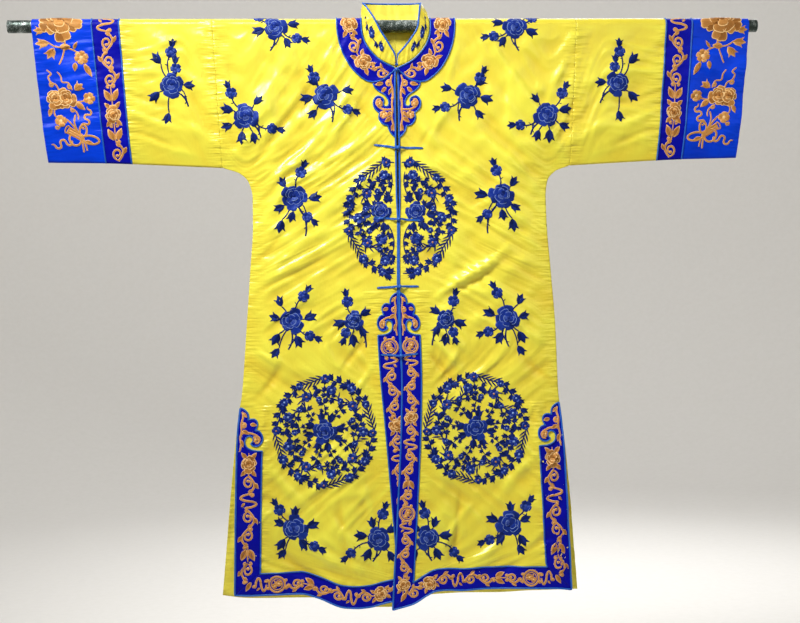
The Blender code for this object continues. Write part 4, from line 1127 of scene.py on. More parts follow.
class ROBE_OT_borders(bpy.types.Operator):
    """Make the dark appliqued cloths: neck bands, lappets and the borders with their cloud heads"""
    bl_idname = "robe.borders"
    bl_label = "Bands and borders"

    def execute(self, context):
        inset, gap = 0.0006, 0.005
        for side in SIDES:
            front, hem, slit = border_lines(side)
            corner, far = front_corner(side, 0.0), slit_corner(side, 0.0)
            foot, end = [corner + (inset, -inset)], [far + (-inset, -inset)]
            pieces = (
                ("front_border", 0.0045, (0.060, 0.64),
                 (front, foot, front_line(side, inset, corner[1] - gap, FRONT_APEX + inset))),
                ("slit_border", 0.0045, (0.066, 0.39),
                 (slit, end, slit_line(side, inset, far[1] - gap, SLIT_APEX + inset))),
                ("hem_border", 0.0045, (0.40, 0.075),
                 (hem, end, hem_line(side, inset, far[0] - gap, corner[0] + gap), foot)),
                ("lappet", 0.0035, (0.054, 0.140),
                 (smooth_line(LAPPET_TOP, 5), smooth_runs(LAPPET), front_line(side, inset, 0.2235, 0.094))),
            )
            for label, cell, flat, lines in pieces:
                cut_sheet(label, side, spaced_ring(np.concatenate(lines)), cell, flat)
            self.neck_band(side)
        return {"FINISHED"}

    def neck_band(self, side):
        inner, outer = neck_band_edges()
        share = np.linspace(0, 1, 15)
        out, path = (inner[:, k, None] + (outer - inner)[:, k, None] * share for k in (0, 1))
        points = on_cloth(side, out, path, TRIM_TOP).reshape(-1, 3)
        trim_sheet("neck_band", side, points, grid_faces(*out.shape, side == LEFT),
                   pair(out.ravel(), path.ravel()), 0.12, (0.12, 0.20), sheet_area(out, path))


def spaced_ring(ring):
    """A closed ring with no two points on one spot and none further apart than a step."""
    step, spot = 0.005, 0.0004
    keep = []
    for point, after in zip(ring, np.roll(ring, -1, axis=0)):
        span = np.linalg.norm(after - point)
        if span > spot:
            keep += [point + (after - point) * t for t in np.arange(0, 1, 1 / math.ceil(span / step))]
    return np.array(keep)


def neck_band_edges():
    """Inner and outer edge of the neck band as out and path, from the front tip to the back's middle."""
    inner = [(out, path_of(FRONT, depth)) for out, depth, _, _ in NECK_BAND]
    outer = [(out, path_of(FRONT, depth)) for _, _, out, depth in NECK_BAND]
    for path in np.linspace(QUARTER, -QUARTER, 9)[1:]:
        inner.append((neck_out(path), path))
        outer.append((BAND_HALF, path))
    for depth, out in NECK_BAND_BACK:
        inner.append((CLEAR / 2, path_of(BACK, depth)))
        outer.append((out, path_of(BACK, depth)))
    return smooth_line(inner), smooth_line(outer)


def collar_stations():
    """Seam points and free points of the stand collar, from the left front end round to the right one."""
    rows = [(path_of(FRONT, row[0]), row) for row in COLLAR_FRONT]
    rows += [(row[0] * QUARTER, row) for row in COLLAR_OVER]
    halves = []
    for side in SIDES:
        half = []
        for path, row in rows:
            slope = (neck_out(path + SLOPE_STEP) - neck_out(path - SLOPE_STEP)) / (2 * SLOPE_STEP)
            away = COLLAR_GAP / math.hypot(1.0, slope)
            out = max(neck_out(path) - away, COLLAR_GAP)
            seam = on_cloth(side, [out], path + slope * away, CLOTH / 2)[0]
            half.append((seam, (SIGN[side] * row[1 + side], row[3], row[4])))
        halves.append(half)
    back = on_cloth(LEFT, [0.0], -QUARTER, CLOTH / 2)[0] + (0.0, 0.0, COLLAR_GAP)
    stations = halves[LEFT] + [(back, COLLAR_MIDDLE)] + halves[RIGHT][::-1]
    return smooth_line([seam for seam, _ in stations], 7), smooth_line([free for _, free in stations], 7)


def collar_surface(along, up, lift):
    """Points on the collar: along from its left front end to its right one, up from seam to free edge."""
    seam, free = collar_stations()
    at, step = np.linspace(0, 1, len(seam)), 1e-3
    low, high = places_on(seam, at, along), places_on(free, at, along)
    ahead, behind = (places_on(seam + free, at, np.clip(along + way, 0, 1)) for way in (step, -step))
    away = unit(np.cross(high - low, ahead - behind))
    along, up, lift = (np.asarray(given)[..., None] for given in (along, up, lift))
    # The stand bows out a little and is drawn in at its two edges, with slack wrinkles round the back
    round_up = np.sin(np.pi * up)
    bow = 0.0016 * round_up + 0.0007 * np.sin(along * 95) * round_up ** 2
    bow = bow + 0.0005 * np.sin(along * 213 + up * 3) * round_up
    return low + (high - low) * up + away * (lift + bow)


class ROBE_OT_collar(bpy.types.Operator):
    """Make the stand collar and its lining"""
    bl_idname = "robe.collar"
    bl_label = "Collar"

    def execute(self, context):
        along, up = np.meshgrid(np.linspace(0, 1, 200), np.linspace(0, 1, 15), indexing="ij")
        points = collar_surface(along, up, COLLAR_LIFT)
        thing = new_mesh("collar_cloth", points.reshape(-1, 3), grid_faces(*along.shape, False))
        cut = pair(up.ravel() * 0.05, along.ravel() * 0.40)
        # The hollow attribute paints shade along the collar's slack wrinkles
        cloth_layers(thing, cut, cut, hollow=0.25 * np.sin(along * 95) * np.sin(np.pi * up),
                     pull=1.2 * np.abs(up - 0.5))
        thicken(thing, 0.0013, inside=1)
        finish_piece(thing, ["silk_satin_yellow", "silk_lining_pale"], "body_satin", ["collar"])
        edges = along_of(points[:, 7])[-1]
        return {"FINISHED"}


def tube(points, radius, taper=0.0):
    """A round cord through points: its points, faces and cut as round-along pairs."""
    points = np.asarray(points, float)
    run, along = run_of(points), along_of(points)
    side = np.cross(run[0], (0.31, 0.87, 0.22))
    verts, cut = [], []
    for point, way, here in zip(points, run, along):
        side = unit(side - way * side.dot(way))
        other = np.cross(way, side)
        thin = 1.0 - taper * (1 - min(here, along[-1] - here, TAPER_REACH) / TAPER_REACH)
        for turn in circle(CORD_SIDES):
            verts.append(point + (side * math.cos(turn) + other * math.sin(turn)) * radius * thin)
            cut.append((turn * radius, here))
    return verts, round_faces(len(points), CORD_SIDES), cut


def cord_piece(name, cords, replaced):
    """One piece made of several cords."""
    verts, faces, cut = [], [], []
    for points, faces_here, cut_here in cords:
        faces += [[len(verts) + i for i in face] for face in faces_here]
        verts += points
        cut += cut_here
    thing = new_mesh(name, verts, faces)
    lay_out(thing.data, "cut", cut)
    finish_piece(thing, ["satin_cord_cerulean"], "piping_satin", [replaced])


def piping(label, side, line, lift, radius, step=0.0025):
    """A corded piping along a line of out and path."""
    line, name = spaced(line, step), SIDE_NAME[side]
    cord_piece(f"{label}_cord_{name}", [tube(on_cloth(side, *line.T, lift), radius)], f"{label}_{name}")


def down(line):
    """The same line with paths instead of depths."""
    return line + (0.0, QUARTER)


EDGE_CORD, SEAM_CORD, LINE_CORD, FROG_CORD, KNOT_CORD = 0.0019, 0.0016, 0.0014, 0.00115, 0.0014
CORD_SIDES = 8
TAPER_REACH = 0.004
STRAP_APART = 0.0021


class ROBE_OT_pipings(bpy.types.Operator):
    """Make the corded pipings along seams, borders and free edges"""
    bl_idname = "robe.pipings"
    bl_label = "Pipings"

    def execute(self, context):
        rim, fine, on_trim = 0.0012, 0.0018, TRIM_TOP + 0.0002
        inner, outer = neck_band_edges()
        tip = [(0.0036, path_of(FRONT, 0.0885)), (0.0060, path_of(FRONT, 0.0930))]
        for side in SIDES:
            for seam, label in ((BAND_SEAM, "band_piping"), (CUFF_SEAM, "cuff_piping")):
                depths = seam[2] * np.linspace(1, 0, 60)
                front = [(seam_out(seam, depth), path_of(FRONT, depth)) for depth in depths]
                over = [(seam[0], path) for path in np.linspace(QUARTER, -QUARTER, 12)[1:-1]]
                behind = [(out, -path) for out, path in reversed(front)]
                piping(label, side, front + over + behind, CLOTH + 0.0004, SEAM_CORD)
            front, hem, slit = border_lines(side)
            start = front[1] * 0.4 + front[0] * 0.6
            run = np.concatenate([[start], front[1:], hem[1:-1], slit[::-1][:-1]])
            piping("border_piping", side, down(run), on_trim, LINE_CORD, fine)
            corner, far = front_corner(side, 0.0), slit_corner(side, 0.0)
            run = np.concatenate([
                front_line(side, rim, NECK_DEPTH + 0.004, corner[1] - rim),
                hem_line(side, rim, corner[0] + rim, far[0] - rim)[1:-1],
                slit_line(side, rim, far[1] - rim, SLIT_APEX + rim),
            ])
            piping("edge_piping", side, down(run), TRIM_LIFT + 0.0006, EDGE_CORD)
            piping("lappet_piping", side, down(smooth_runs(LAPPET)), on_trim, LINE_CORD, fine)
            piping("neck_band_piping", side, np.concatenate([tip, outer]), on_trim, LINE_CORD)
        line = inner[inner[:, 1] > -QUARTER * 0.98]
        left, right = (on_cloth(side, line[:, 0] + 0.0006, line[:, 1], TRIM_TOP + 0.0004) for side in SIDES)
        seam = spaced(np.concatenate([left, right[::-1]]), 0.0025)
        cord_piece("neck_seam_cord", [tube(seam, LINE_CORD)], "neck_piping")
        along = np.linspace(0, 1, 240)
        seam, free = collar_surface(along, 0.0, 0.0), collar_surface(along, 1.0, 0.0)
        edge = free + unit(free - seam) * 0.0010
        left, right = (np.linspace(0.04, 0.96, 8)[:, None] * (edge[k] - seam[k]) + seam[k] for k in (0, -1))
        cord_piece("collar_edge_cord", [tube(np.concatenate([left, edge, right[::-1]]), EDGE_CORD)],
                   "collar_piping")
        return {"FINISHED"}


def knot(centre):
    """A ball knot: loops of cord round a small ball, each tilted another way."""
    reach = KNOT_RADIUS * 1.05 - KNOT_CORD
    cords = []
    for loop in range(4):
        tilt = Matrix.Rotation(math.pi / 4 * loop + 0.3, 3, "Y") @ Matrix.Rotation(0.5 + 0.9 * loop, 3, "Z")
        turns = np.linspace(0, 2 * math.pi, 25)
        ring = [tilt @ Vector((math.cos(turn), math.sin(turn), 0.0)) * reach for turn in turns]
        cords.append(tube(np.array(ring) + centre, KNOT_CORD))
    return cords


class ROBE_OT_frogs(bpy.types.Operator):
    """Make the frogs, each a pair of doubled straps and a ball knot, and the knot at the neck"""
    bl_idname = "robe.frogs"
    bl_label = "Frogs"

    def execute(self, context):
        for index, (left, middle, right, out_left, out_right) in enumerate(FROGS):
            base = TRIM_TOP if index == BORDER_FROG else CLOTH
            centre = on_cloth(RIGHT, [FRONT_EDGE[0][1]], path_of(FRONT, middle), TOP_LIFT + KNOT_RADIUS)[0]
            label = f"frog_{index + 1}"
            cord_piece(f"{label}_ball", knot(centre), f"{label}_knot")
            for side, end, depth in ((LEFT, out_left, left), (RIGHT, out_right, right)):
                cords = self.strap(side, end, depth, middle, base, centre)
                cord_piece(f"{label}_strap_{SIDE_NAME[side]}", cords, f"{label}_{SIDE_NAME[side]}")
        centre = on_cloth(LEFT, [0.0], path_of(FRONT, NECK_DEPTH + 0.006), TOP_LIFT + CLEAR + KNOT_RADIUS)[0]
        cord_piece("neck_ball", knot(centre), "neck_knot")
        return {"FINISHED"}

    def strap(self, side, end, depth, middle, base, centre):
        """Two cords from the strap's outer end to the knot, and the short cord that joins them there."""
        cords = []
        for aside in (-STRAP_APART / 2, STRAP_APART / 2):
            flat = [(end, depth + aside), (end * 0.66, (2 * depth + middle) / 3 + aside),
                    (end * 0.33, (depth + 2 * middle) / 3 + aside), (0.0085, middle + aside)]
            flat = smooth_line(flat, 8)
            rise = base + FROG_CORD + (TOP_LIFT + 0.0012 - base) * ease(0.016, 0.0085, flat[:, 0])
            line = on_cloth(side, flat[:, 0], flat[:, 1] + QUARTER, rise)
            stop = centre + (SIGN[side] * KNOT_RADIUS * 0.7, 0.0, -aside)
            line = np.concatenate([line, smooth_line([line[-1], stop], 3)[1:]])
            cords.append(tube(line, FROG_CORD, taper=0.3))
        paths = path_of(FRONT, depth + np.array([-0.5, 0.5]) * STRAP_APART)
        ends = on_cloth(side, end + 0.0008, paths, base + FROG_CORD)
        cords.append(tube(smooth_line([ends[0], ends.mean(axis=0), ends[1]], 4), FROG_CORD * 1.05))
        return cords


# Tones of the flosses from 0, the darkest, to 1, the lightest
NAVY_TONES, NAVY_LINE, NAVY_STEM = (0.26, 0.44, 0.56), 0.96, 0.10
LEAF_TONES = ((0.10, 0.26), (0.24, 0.08))
COPPER_TONES, COPPER_LINE, COPPER_STEM = (0.08, 0.30, 0.42), 0.98, 0.40
COPPER_LEAF, COPPER_RIM = (0.20, 0.40), 0.50
# Stitches start this far above the cloth, so that its flat cells do not cut through them
THREAD_LIFT = 0.0003
# Shapes below this many millimetres are domed in fewer steps. Each step of a dome: share of the way from its
# centre to its rim, height and share of the rim's light.
SMALL_SHAPE = 14.0
SMALL_DOME = ((1.0, -0.15, 1.0), (0.82, 0.7, 0.5))
DOME = ((1.0, -0.15, 1.0), (0.92, 0.55, 0.8), (0.55, 0.95, 0.1))
# Rows of a ridge: share of its half width, height and share of the rim's light
RIDGE = ((-1.0, -0.15, 1.0), (-0.55, 0.8, 0.15), (0.55, 0.8, 0.15), (1.0, -0.15, 1.0))


class Needle:
    """Draws satin-stitched shapes. A shape is given in millimetres, x outwards and y down, and the route
    turns that into out and path. The layer orders what overlaps, and the dye picks the floss."""

    def __init__(self, route, store=None, dye=0):
        self.route = route
        self.store = [] if store is None else store
        self.dye = dye

    def at(self, x, y, turn=0.0):
        """Another needle whose shapes stand at x and y here, turned by degrees."""
        c, s = towards(turn, 1.0)
        return self.through(lambda p: pair(x + p[:, 0] * c - p[:, 1] * s, y + p[:, 0] * s + p[:, 1] * c))

    def through(self, bend):
        """Another needle whose shapes are bent by a function before they are placed here."""
        return Needle(lambda points: self.route(bend(points)), self.store, self.dye)

    def dyed(self, dye):
        return Needle(self.route, self.store, dye)

    def put(self, rows, faces, thread):
        """Keeps a shape: rows of places, heights above its layer and tones."""
        shape = np.concatenate([places for places, _, _ in rows])
        height, tone = (np.concatenate([np.full(len(row[0]), row[k]) for row in rows]) for k in (1, 2))
        thread = thread * MM + (0.37 * len(self.store), 0.0)
        spots = np.column_stack([self.route(shape), height])
        self.store.append((spots, faces, np.full(len(faces), self.dye), tone, thread))

    def fill(self, outline, centre, tone, slant=0.0, layer=0.0, rise=1.0, rim=0.0):
        """A shape filled with stitches that lie at this slant, domed from its rim to its centre."""
        outline, centre = np.asarray(outline, float), np.asarray(centre, float)
        count = len(outline)
        small = np.ptp(outline, axis=0).max() < SMALL_SHAPE
        top = bpy.context.scene.robe_thread.rise * rise
        rows = [(centre + (outline - centre) * share, layer * MM + up * top, tone + rim * light)
                for share, up, light in (SMALL_DOME if small else DOME)]
        faces = round_faces(len(rows), count, ends=False)
        last, middle = (len(rows) - 1) * count, len(rows) * count
        faces += [(last + k, last + (k + 1) % count, middle) for k in range(count)]
        rows.append((centre[None], layer * MM + top, tone))
        x, y = np.concatenate([places for places, _, _ in rows]).T
        c, s = towards(slant, 1.0)
        self.put(rows, faces, pair(y * c - x * s, x * c + y * s))

    def line(self, points, width, tone, layer=0.0, taper=(0.5, 0.5), rise=0.7, rim=0.0):
        """A stem or outline: a low rounded ridge along points, lighter along its two rims."""
        points = np.asarray(points, float)
        run, along = run_of(points), along_of(points)
        normal = pair(-run[:, 1], run[:, 0])
        share = np.linspace(0, 1, len(points))
        wide = width / 2 * (taper[0] + (1 - taper[0]) * ease(0, 0.18, share))
        wide = wide * (taper[1] + (1 - taper[1]) * ease(1, 0.82, share))
        top = bpy.context.scene.robe_thread.rise * rise
        rows = [(points + normal * (wide * across)[:, None], layer * MM + up * top, tone + rim * light)
                for across, up, light in RIDGE]
        thread = np.concatenate([pair(along, wide * across) for across, _, _ in RIDGE])
        self.put(rows, grid_faces(len(RIDGE), len(points), False).tolist(), thread)

    def piece(self, name, side, base, slot, flosses=("copper",), surface=None):
        """Joins all shapes into one piece on the cloth of a side, each face turned outwards."""
        spots, dyes, tone, thread = (np.concatenate([shape[k] for shape in self.store]) for k in (0, 2, 3, 4))
        wanted = -1.0 if side == RIGHT else 1.0
        faces, before = [], 0
        for shape, shape_faces, *_ in self.store:
            for face in shape_faces:
                (ax, ay), (bx, by), (cx, cy) = shape[list(face[:3]), :2]
                turned = (bx - ax) * (cy - ay) - (by - ay) * (cx - ax)
                faces.append([before + i for i in (face if turned * wanted > 0 else face[::-1])])
            before += len(shape)
        lift = base + THREAD_LIFT + spots[:, 2]
        place = surface or (lambda out, path, height: on_cloth(side, out, path, height))
        thing = new_mesh(f"{name}_{SIDE_NAME[side]}", place(spots[:, 0], spots[:, 1], lift), faces)
        lay_out(thing.data, "thread", thread)
        remember(thing.data, "tone", tone)
        thing.data.polygons.foreach_set("material_index", dyes.astype(np.int32))
        finish_piece(thing, [f"silk_floss_{floss}" for floss in flosses], slot)


def bent(start, end, bow, count=9):
    """A curved line between two places, bowed to one side."""
    start, way = np.asarray(start, float), np.subtract(end, start)
    t = np.linspace(0, 1, count)[:, None]
    return start + way * t + np.array([-way[1], way[0]]) * bow * 4 * t * (1 - t)


def heading_of(x, y):
    return math.degrees(math.atan2(y, x))


def towards(angle, distance):
    return np.array([math.cos(math.radians(angle)), math.sin(math.radians(angle))]) * distance


def disc(radius, step=45):
    """Places round a circle, every step of degrees; the first and the last stand one step apart."""
    return np.array([towards(angle, radius) for angle in range(0, 350, step)])


def winding(start, heading, radius, turns, way):
    """A line that winds up: it starts on a circle of this radius and ends on one of a quarter of it."""
    count, bend_from, bend_to = 20, math.degrees(1 / radius), math.degrees(1 / (radius * 0.26))
    step = turns * 360 / ((bend_from + bend_to) / 2) / (count - 1)
    point, angle = np.asarray(start, float), heading
    made = [point]
    for k in range(count - 1):
        angle += way * (bend_from + (bend_to - bend_from) * k / (count - 1)) * step
        point = point + towards(angle, step)
        made.append(point)
    return np.array(made)


# Leaf of a peony, from its stalk at 0,0 to its tip at 1,0: along and half width. Each half ends in a tooth.
LEAF_HALF = (
    ((0.0, 0.0), (0.10, 0.13), (0.26, 0.29), (0.44, 0.36), (0.60, 0.38), (0.82, 0.53), (0.71, 0.22),
     (0.84, 0.14), (1.0, 0.0)),
    ((0.0, 0.0), (0.10, 0.15), (0.25, 0.32), (0.42, 0.38), (0.55, 0.40), (0.76, 0.57), (0.65, 0.24),
     (0.81, 0.15), (1.0, 0.0)),
)
# Plain long leaf, the same way
BLADE_HALF = (((0.0, 0.0), (0.12, 0.20), (0.32, 0.34), (0.55, 0.34), (0.78, 0.20), (1.0, 0.0)),) * 2


def leaf(needle, length, width, tones, half=LEAF_HALF, layer=0.0, vein=None, rim=-0.10):
    """Two halves of slanted stitches that meet at the midrib."""
    for way, tone, outline in zip((-1, 1), tones, half):
        edge = [(a * length, way * w * width) for a, w in outline]
        spine = [(0.75 * length, -0.01 * way * width), (0.35 * length, -0.01 * way * width)]
        needle.fill(np.array(edge + spine), (0.45 * length, way * 0.17 * width), tone, slant=way * 38,
                    layer=layer, rise=0.8, rim=rim)
    if vein is not None:
        needle.line(bent((0, 0), (0.8 * length, 0), 0.02, 5), 0.9, vein, layer=layer + 0.5, rise=0.4)


def petal(needle, angle, near, far, spread, tone, layer, rim):
    """A petal that widens from near to far, with a soft notch in its rim."""
    turn = np.linspace(-1, 1, 11)
    reach = near + (far - near) * (1 - turn ** 4) * (1 - 0.05 * np.exp(-(turn / 0.22) ** 2))
    way = np.radians(angle + turn * spread)
    outer = pair(reach * np.cos(way), reach * np.sin(way))
    foot = towards(angle, near * 0.4)[None]
    needle.fill(np.concatenate([outer, foot]), towards(angle, near * 0.35 + far * 0.5), tone, slant=angle,
                layer=layer, rim=rim)
    return outer


def peony(needle, radius, turn, tones, line_tone, outer=7, lines=1.0, rim=0.12, outlined=False):
    """An open peony: uneven overlapping petals in three rows round a closed heart, some of them outlined."""
    dark, middle, light = tones
    for k in range(outer):
        far = radius * (0.98 + 0.11 * math.sin(k * 2.3 + turn))
        way = turn + 360 * k / outer + 9 * math.sin(k * 3.1 + turn)
        layer = 0.10 + 0.14 * (k % 2) + 0.05 * (k % 3)
        edge = petal(needle, way, radius * 0.42, far, 262 / outer, (dark, middle)[k % 2], layer, rim)
        if outlined:
            needle.line(edge * 0.97, lines, line_tone, layer=layer + 0.25, rise=0.35)
    rows = ((5, 0.70, 50, middle, 0.62, 0.07, 0), (3, 0.44, 66, light, 1.05, 0.14, -70))
    for number, share, spread, tone, layer, aside, lean in rows:
        centre = needle.at(*towards(turn - 100, radius * aside))
        # Painted shade: a darker disc under each inner row shows as shade in the gaps between its petals
        centre.fill(disc(radius * share * 1.05, 24), (0, 0), dark - 0.16, layer=layer - 0.18, rise=0.6)
        for k in range(number):
            angle = turn + 25 + 360 * k / number + lean + 8 * math.sin(k * 2.7 + turn)
            far = radius * share * (0.95 + 0.09 * math.sin(k * 4 + turn))
            shade = tone if k % 2 else (tone + dark) / 2
            edge = petal(centre, angle, radius * share * 0.35, far, spread, shade, layer + 0.08 * (k % 3),
                         rim * 0.6)
            cut = 1 + (k + number) % 3
            centre.line(edge[cut:-1], lines, line_tone, layer=layer + 0.62, rise=0.35)
    heart = needle.at(*towards(turn - 100, radius * 0.14))
    heart.fill(disc(0.15 * radius, 40), (0, 0), dark, slant=turn, layer=1.6)


def blossom(needle, radius, turn, tones, petals, heart, line, rim=0.12):
    """A small flower with one row of petals, every other one with a thin line in it."""
    for k in range(petals):
        edge = petal(needle, turn + 360 * k / petals, radius * 0.35, radius, 235 / petals, tones[k % 2],
                     0.2 + 0.12 * (k % 2), rim)
        if line is not None and k % 2:
            needle.line(edge[2:-2] * 0.72, 0.8, line, layer=0.95, rise=0.3)
    needle.fill(disc(0.27 * radius), (0, 0), heart, layer=0.75, rise=0.9)


def navy_flower(needle, radius, turn, petals=5, heart=NAVY_TONES[2], line=NAVY_LINE):
    blossom(needle, radius, turn, NAVY_TONES[:2], petals, heart, line)


def thorn(needle, line, index, turn, size, width):
    """A short spur that leaves a navy stem."""
    tip = line[index] + towards(heading_of(*(line[index] - line[index - 1])) + turn, size)
    needle.line(bent(line[index], tip, 0.1, 4), width, NAVY_STEM, taper=(1.0, 0.35))


def spray(needle, radius, turn, leaves, buds, stem):
    """A peony with its leaves, its buds with a leaf at their tip, and its cut stem."""
    for number, (x, y) in enumerate(leaves):
        way, odd = heading_of(x, y), number % 2
        size = 24.0 if odd else 21.0
        start = towards(way, radius * 0.55)
        end = towards(way, max(math.hypot(x, y) - size * 0.45, radius * 0.8))
        needle.line(bent(start, end, 0.10 if odd else -0.08, 7), 2.8, NAVY_STEM, taper=(0.8, 0.8))
        leaf(needle.at(*end, way + (14 if odd else -12)), size * 1.18, size * 0.92, LEAF_TONES[odd],
             layer=0.12, vein=NAVY_STEM)
    for (x, y), bow, reach, lean in zip(buds, (0.14, -0.16), (12.0, 11.0), (10, -8)):
        way = heading_of(x, y)
        stalk = bent(towards(way, radius * 0.6), (x, y), bow, 11)
        needle.line(stalk, 2.8, NAVY_STEM, taper=(0.9, 0.8))
        thorn(needle, stalk, 5, 65, 6.0, 1.6)
        thorn(needle, stalk, 7, -70, 5.0, 1.6)
        tip = needle.at(x, y, way - bow * 120)
        for aside in (-58, 62):
            leaf(tip.at(-3, 0, aside), 11.0, 8.0, LEAF_TONES[0], half=BLADE_HALF, layer=0.05)
        navy_flower(tip, reach, 20)
        leaf(tip.at(8, 1, lean), 20.0, 16.0, LEAF_TONES[1], layer=0.05, vein=NAVY_STEM)
    way = heading_of(*stem)
    tail = bent(towards(way, radius * 0.6), stem, 0.13, 12)
    needle.line(tail, 3.4, NAVY_STEM, taper=(0.8, 0.9))
    side_stem = bent(towards(way + 38, radius * 0.7), tail[8], 0.10, 7)
    needle.line(side_stem, 2.6, NAVY_STEM, taper=(0.8, 0.8))
    thorn(needle, tail, 5, 55, 6.5, 2.0)
    thorn(needle, tail, 8, -60, 6.0, 2.0)
    peony(needle, radius, turn, NAVY_TONES, NAVY_LINE)


def spot_route(out, depth):
    """Millimetres round a place on the front, to out and path."""
    return lambda points: points * MM + (out, path_of(FRONT, depth))


class ROBE_OT_sprays(bpy.types.Operator):
    """Embroider the navy peony sprays on both fronts and sleeves"""
    bl_idname = "robe.sprays"
    bl_label = "Peony sprays"

    def execute(self, context):
        for side in SIDES:
            for name, out, depth, radius, turn, leaves, buds, stem in SPRAYS:
                needle = Needle(spot_route(out * MM, depth * MM))
                spray(needle.at(0, 0, 5 * side - 2), radius, turn + 20 * side, leaves, buds, stem)
                needle.piece(f"spray_{name}", side, CLOTH, "body_satin", ["navy"])
        return {"FINISHED"}


def branch(needle, line, size, every, keep, width, lean=46, half=LEAF_HALF, shape=0.85):
    """A stem with leaves on its two sides in turn, wherever there is room for them."""
    line = spaced(line, 1.5)
    clear = np.array([keep(x, y) for x, y in line])
    if clear.sum() < 4:
        return
    needle.line(line[clear], width, NAVY_STEM, taper=(0.7, 0.5))
    run = np.gradient(line, axis=0)
    for number, index in enumerate(range(1, len(line), max(1, round(every / 1.5)))):
        way = heading_of(*run[index]) + (lean if number % 2 else -lean)
        here = size * (0.88 + 0.22 * ((number * 7) % 3) / 2)
        if clear[index] and keep(*(line[index] + towards(way, here))):
            leaf(needle.at(*line[index], way), here, here * shape, LEAF_TONES[number % 2], half, 0.06)


def medallion(needle, across, tall, half):
    """A round wreath: leafy branches round its rim, curved twigs inside, small flowers between them and
    peonies in the middle. Half a medallion stops short of the front's edge."""
    scale = tall / across
    copper, pale = needle.dyed(1), needle.dyed(2)

    def keep(x, y):
        return math.hypot(x, y / scale) < across and not (half and x < 7)

    def spot(angle, share):
        return towards(angle, across * share) * (1.0, scale)

    def flower(angle, share, radius, turn, heart, petals=5):
        x, y = spot(angle, share)
        if keep(x - (radius * 0.8 if half else 0), y):
            navy_flower(needle.at(x, y), radius, turn, petals)
            heart.at(x, y).fill(disc(0.20 * radius), (0, 0), 0.35, layer=1.3, rise=0.8)

    for k in range(12):
        angle = 30 * k + 15 * half + 3 * math.sin(k * 2.1)
        arc = [spot(angle + t * 34, 0.91 - 0.05 * math.sin(t * math.pi)) for t in np.linspace(0, 1, 14)]
        if k % 3:
            branch(needle, arc, 16.0, 8.5, keep, 2.6)
        else:
            branch(needle, arc, 19.0, 5.0, keep, 2.6, 34, BLADE_HALF, 0.24)
        flower(angle - 2, 0.885, 9.0 + 1.2 * math.sin(k * 1.7), k * 31, pale if k % 3 else copper)
    for k in range(9):
        angle, way = (35 * k - 80 if half else 40 * k + 9), 1 if k % 2 else -1
        wave = [spot(angle + t * 40, 0.645 + 0.075 * way * math.sin(t * math.pi * 2))
                for t in np.linspace(0, 1, 16)]
        if k % 2:
            branch(needle, wave, 17.0, 5.2, keep, 2.4, 36, BLADE_HALF, 0.26)
        else:
            branch(needle, wave, 14.5, 8.0, keep, 2.4, 48)
        flower(angle + 10, 0.69 - 0.02 * way, 10.5, k * 23, copper if k % 2 else pale, petals=6)
        flower(angle + 31, 0.57 + 0.02 * way, 6.5, k * 40, pale)
        x, y = spot(angle + 22, 0.47)
        if keep(x - 9, y):
            for size, lean in ((16, 30), (14, -80)):
                leaf(needle.at(x, y, angle + 22 + lean * way), size, size - 2, LEAF_TONES[k % 2], layer=0.06,
                     vein=NAVY_STEM)
            needle.line(bent((x * 0.55, y * 0.55), (x, y), 0.1 * way, 6), 2.2, NAVY_STEM)
            for share, lean in ((0.80, 62), (0.72, -62), (0.60, 58)):
                leaf(needle.at(x * share, y * share, angle + 22 + lean * way), 11, 9, LEAF_TONES[(k + 1) % 2],
                     layer=0.08)
    centre = needle.at(35, -12) if half else needle
    for k in range(8):
        way = 45 * k + 14
        x, y = towards(way, 20)
        if not half or keep(x * 2 + 32, y):
            leaf(centre.at(x, y, way + (14 if k % 2 else -10)), 23, 19, LEAF_TONES[k % 2], layer=0.05,
                 vein=NAVY_STEM)
    peony(centre, 21 if half else 25, 12, NAVY_TONES, NAVY_LINE, outer=8)
    if half:
        branch(needle, bent((22, 12), (20, 84), 0.16, 20), 14.0, 8.5, keep, 2.4)
        navy_flower(needle.at(34, 42), 12.0, 10, 6)
        branch(needle, bent((26, -34), (14, -92), -0.12, 16), 13.0, 8.5, keep, 2.4)


class ROBE_OT_medallions(bpy.types.Operator):
    """Embroider the three round flower medallions, the chest one in two halves"""
    bl_idname = "robe.medallions"
    bl_label = "Flower medallions"

    def execute(self, context):
        for name, side, out, depth, across, tall, half in MEDALLIONS:
            needle = Needle(spot_route(out * MM, depth * MM))
            medallion(needle, across, tall, half)
            needle.piece(f"medallion_{name}", side, CLOTH, "body_satin", ["navy", "copper", "pale"])
        return {"FINISHED"}


def stem(needle, points, width, layer=0.0, taper=(0.8, 0.8)):
    """A copper stem or ribbon."""
    needle.line(points, width, COPPER_STEM, layer=layer, taper=taper, rim=COPPER_RIM)


def draw(needle, *strokes):
    """Copper shapes one after another; each is the function that draws it and its numbers."""
    for make, *numbers in strokes:
        make(needle, *numbers)


def curl(needle, x, y, heading, radius, way, width, turns):
    """A tendril that curls up, with a round end."""
    line = winding((x, y), heading, radius, turns, way)
    stem(needle, line, width, taper=(0.6, 0.9))
    needle.at(*line[-1]).fill(disc(width * 0.78), (0, 0), 0.4, layer=0.25, rim=COPPER_RIM)


def blade(needle, x, y, heading, size, width=None, half=BLADE_HALF):
    """A copper leaf, pale at its rims and brown at its midrib."""
    leaf(needle.at(x, y, heading), size, width or size * 0.72, COPPER_LEAF, half=half, layer=0.1,
         rim=COPPER_RIM, vein=COPPER_TONES[0] if size > 14 else None)


def copper_flower(needle, x, y, radius, turn, petals=5, line=None):
    blossom(needle.at(x, y), radius, turn, COPPER_TONES[1:], petals, COPPER_LINE, line, rim=0.35)


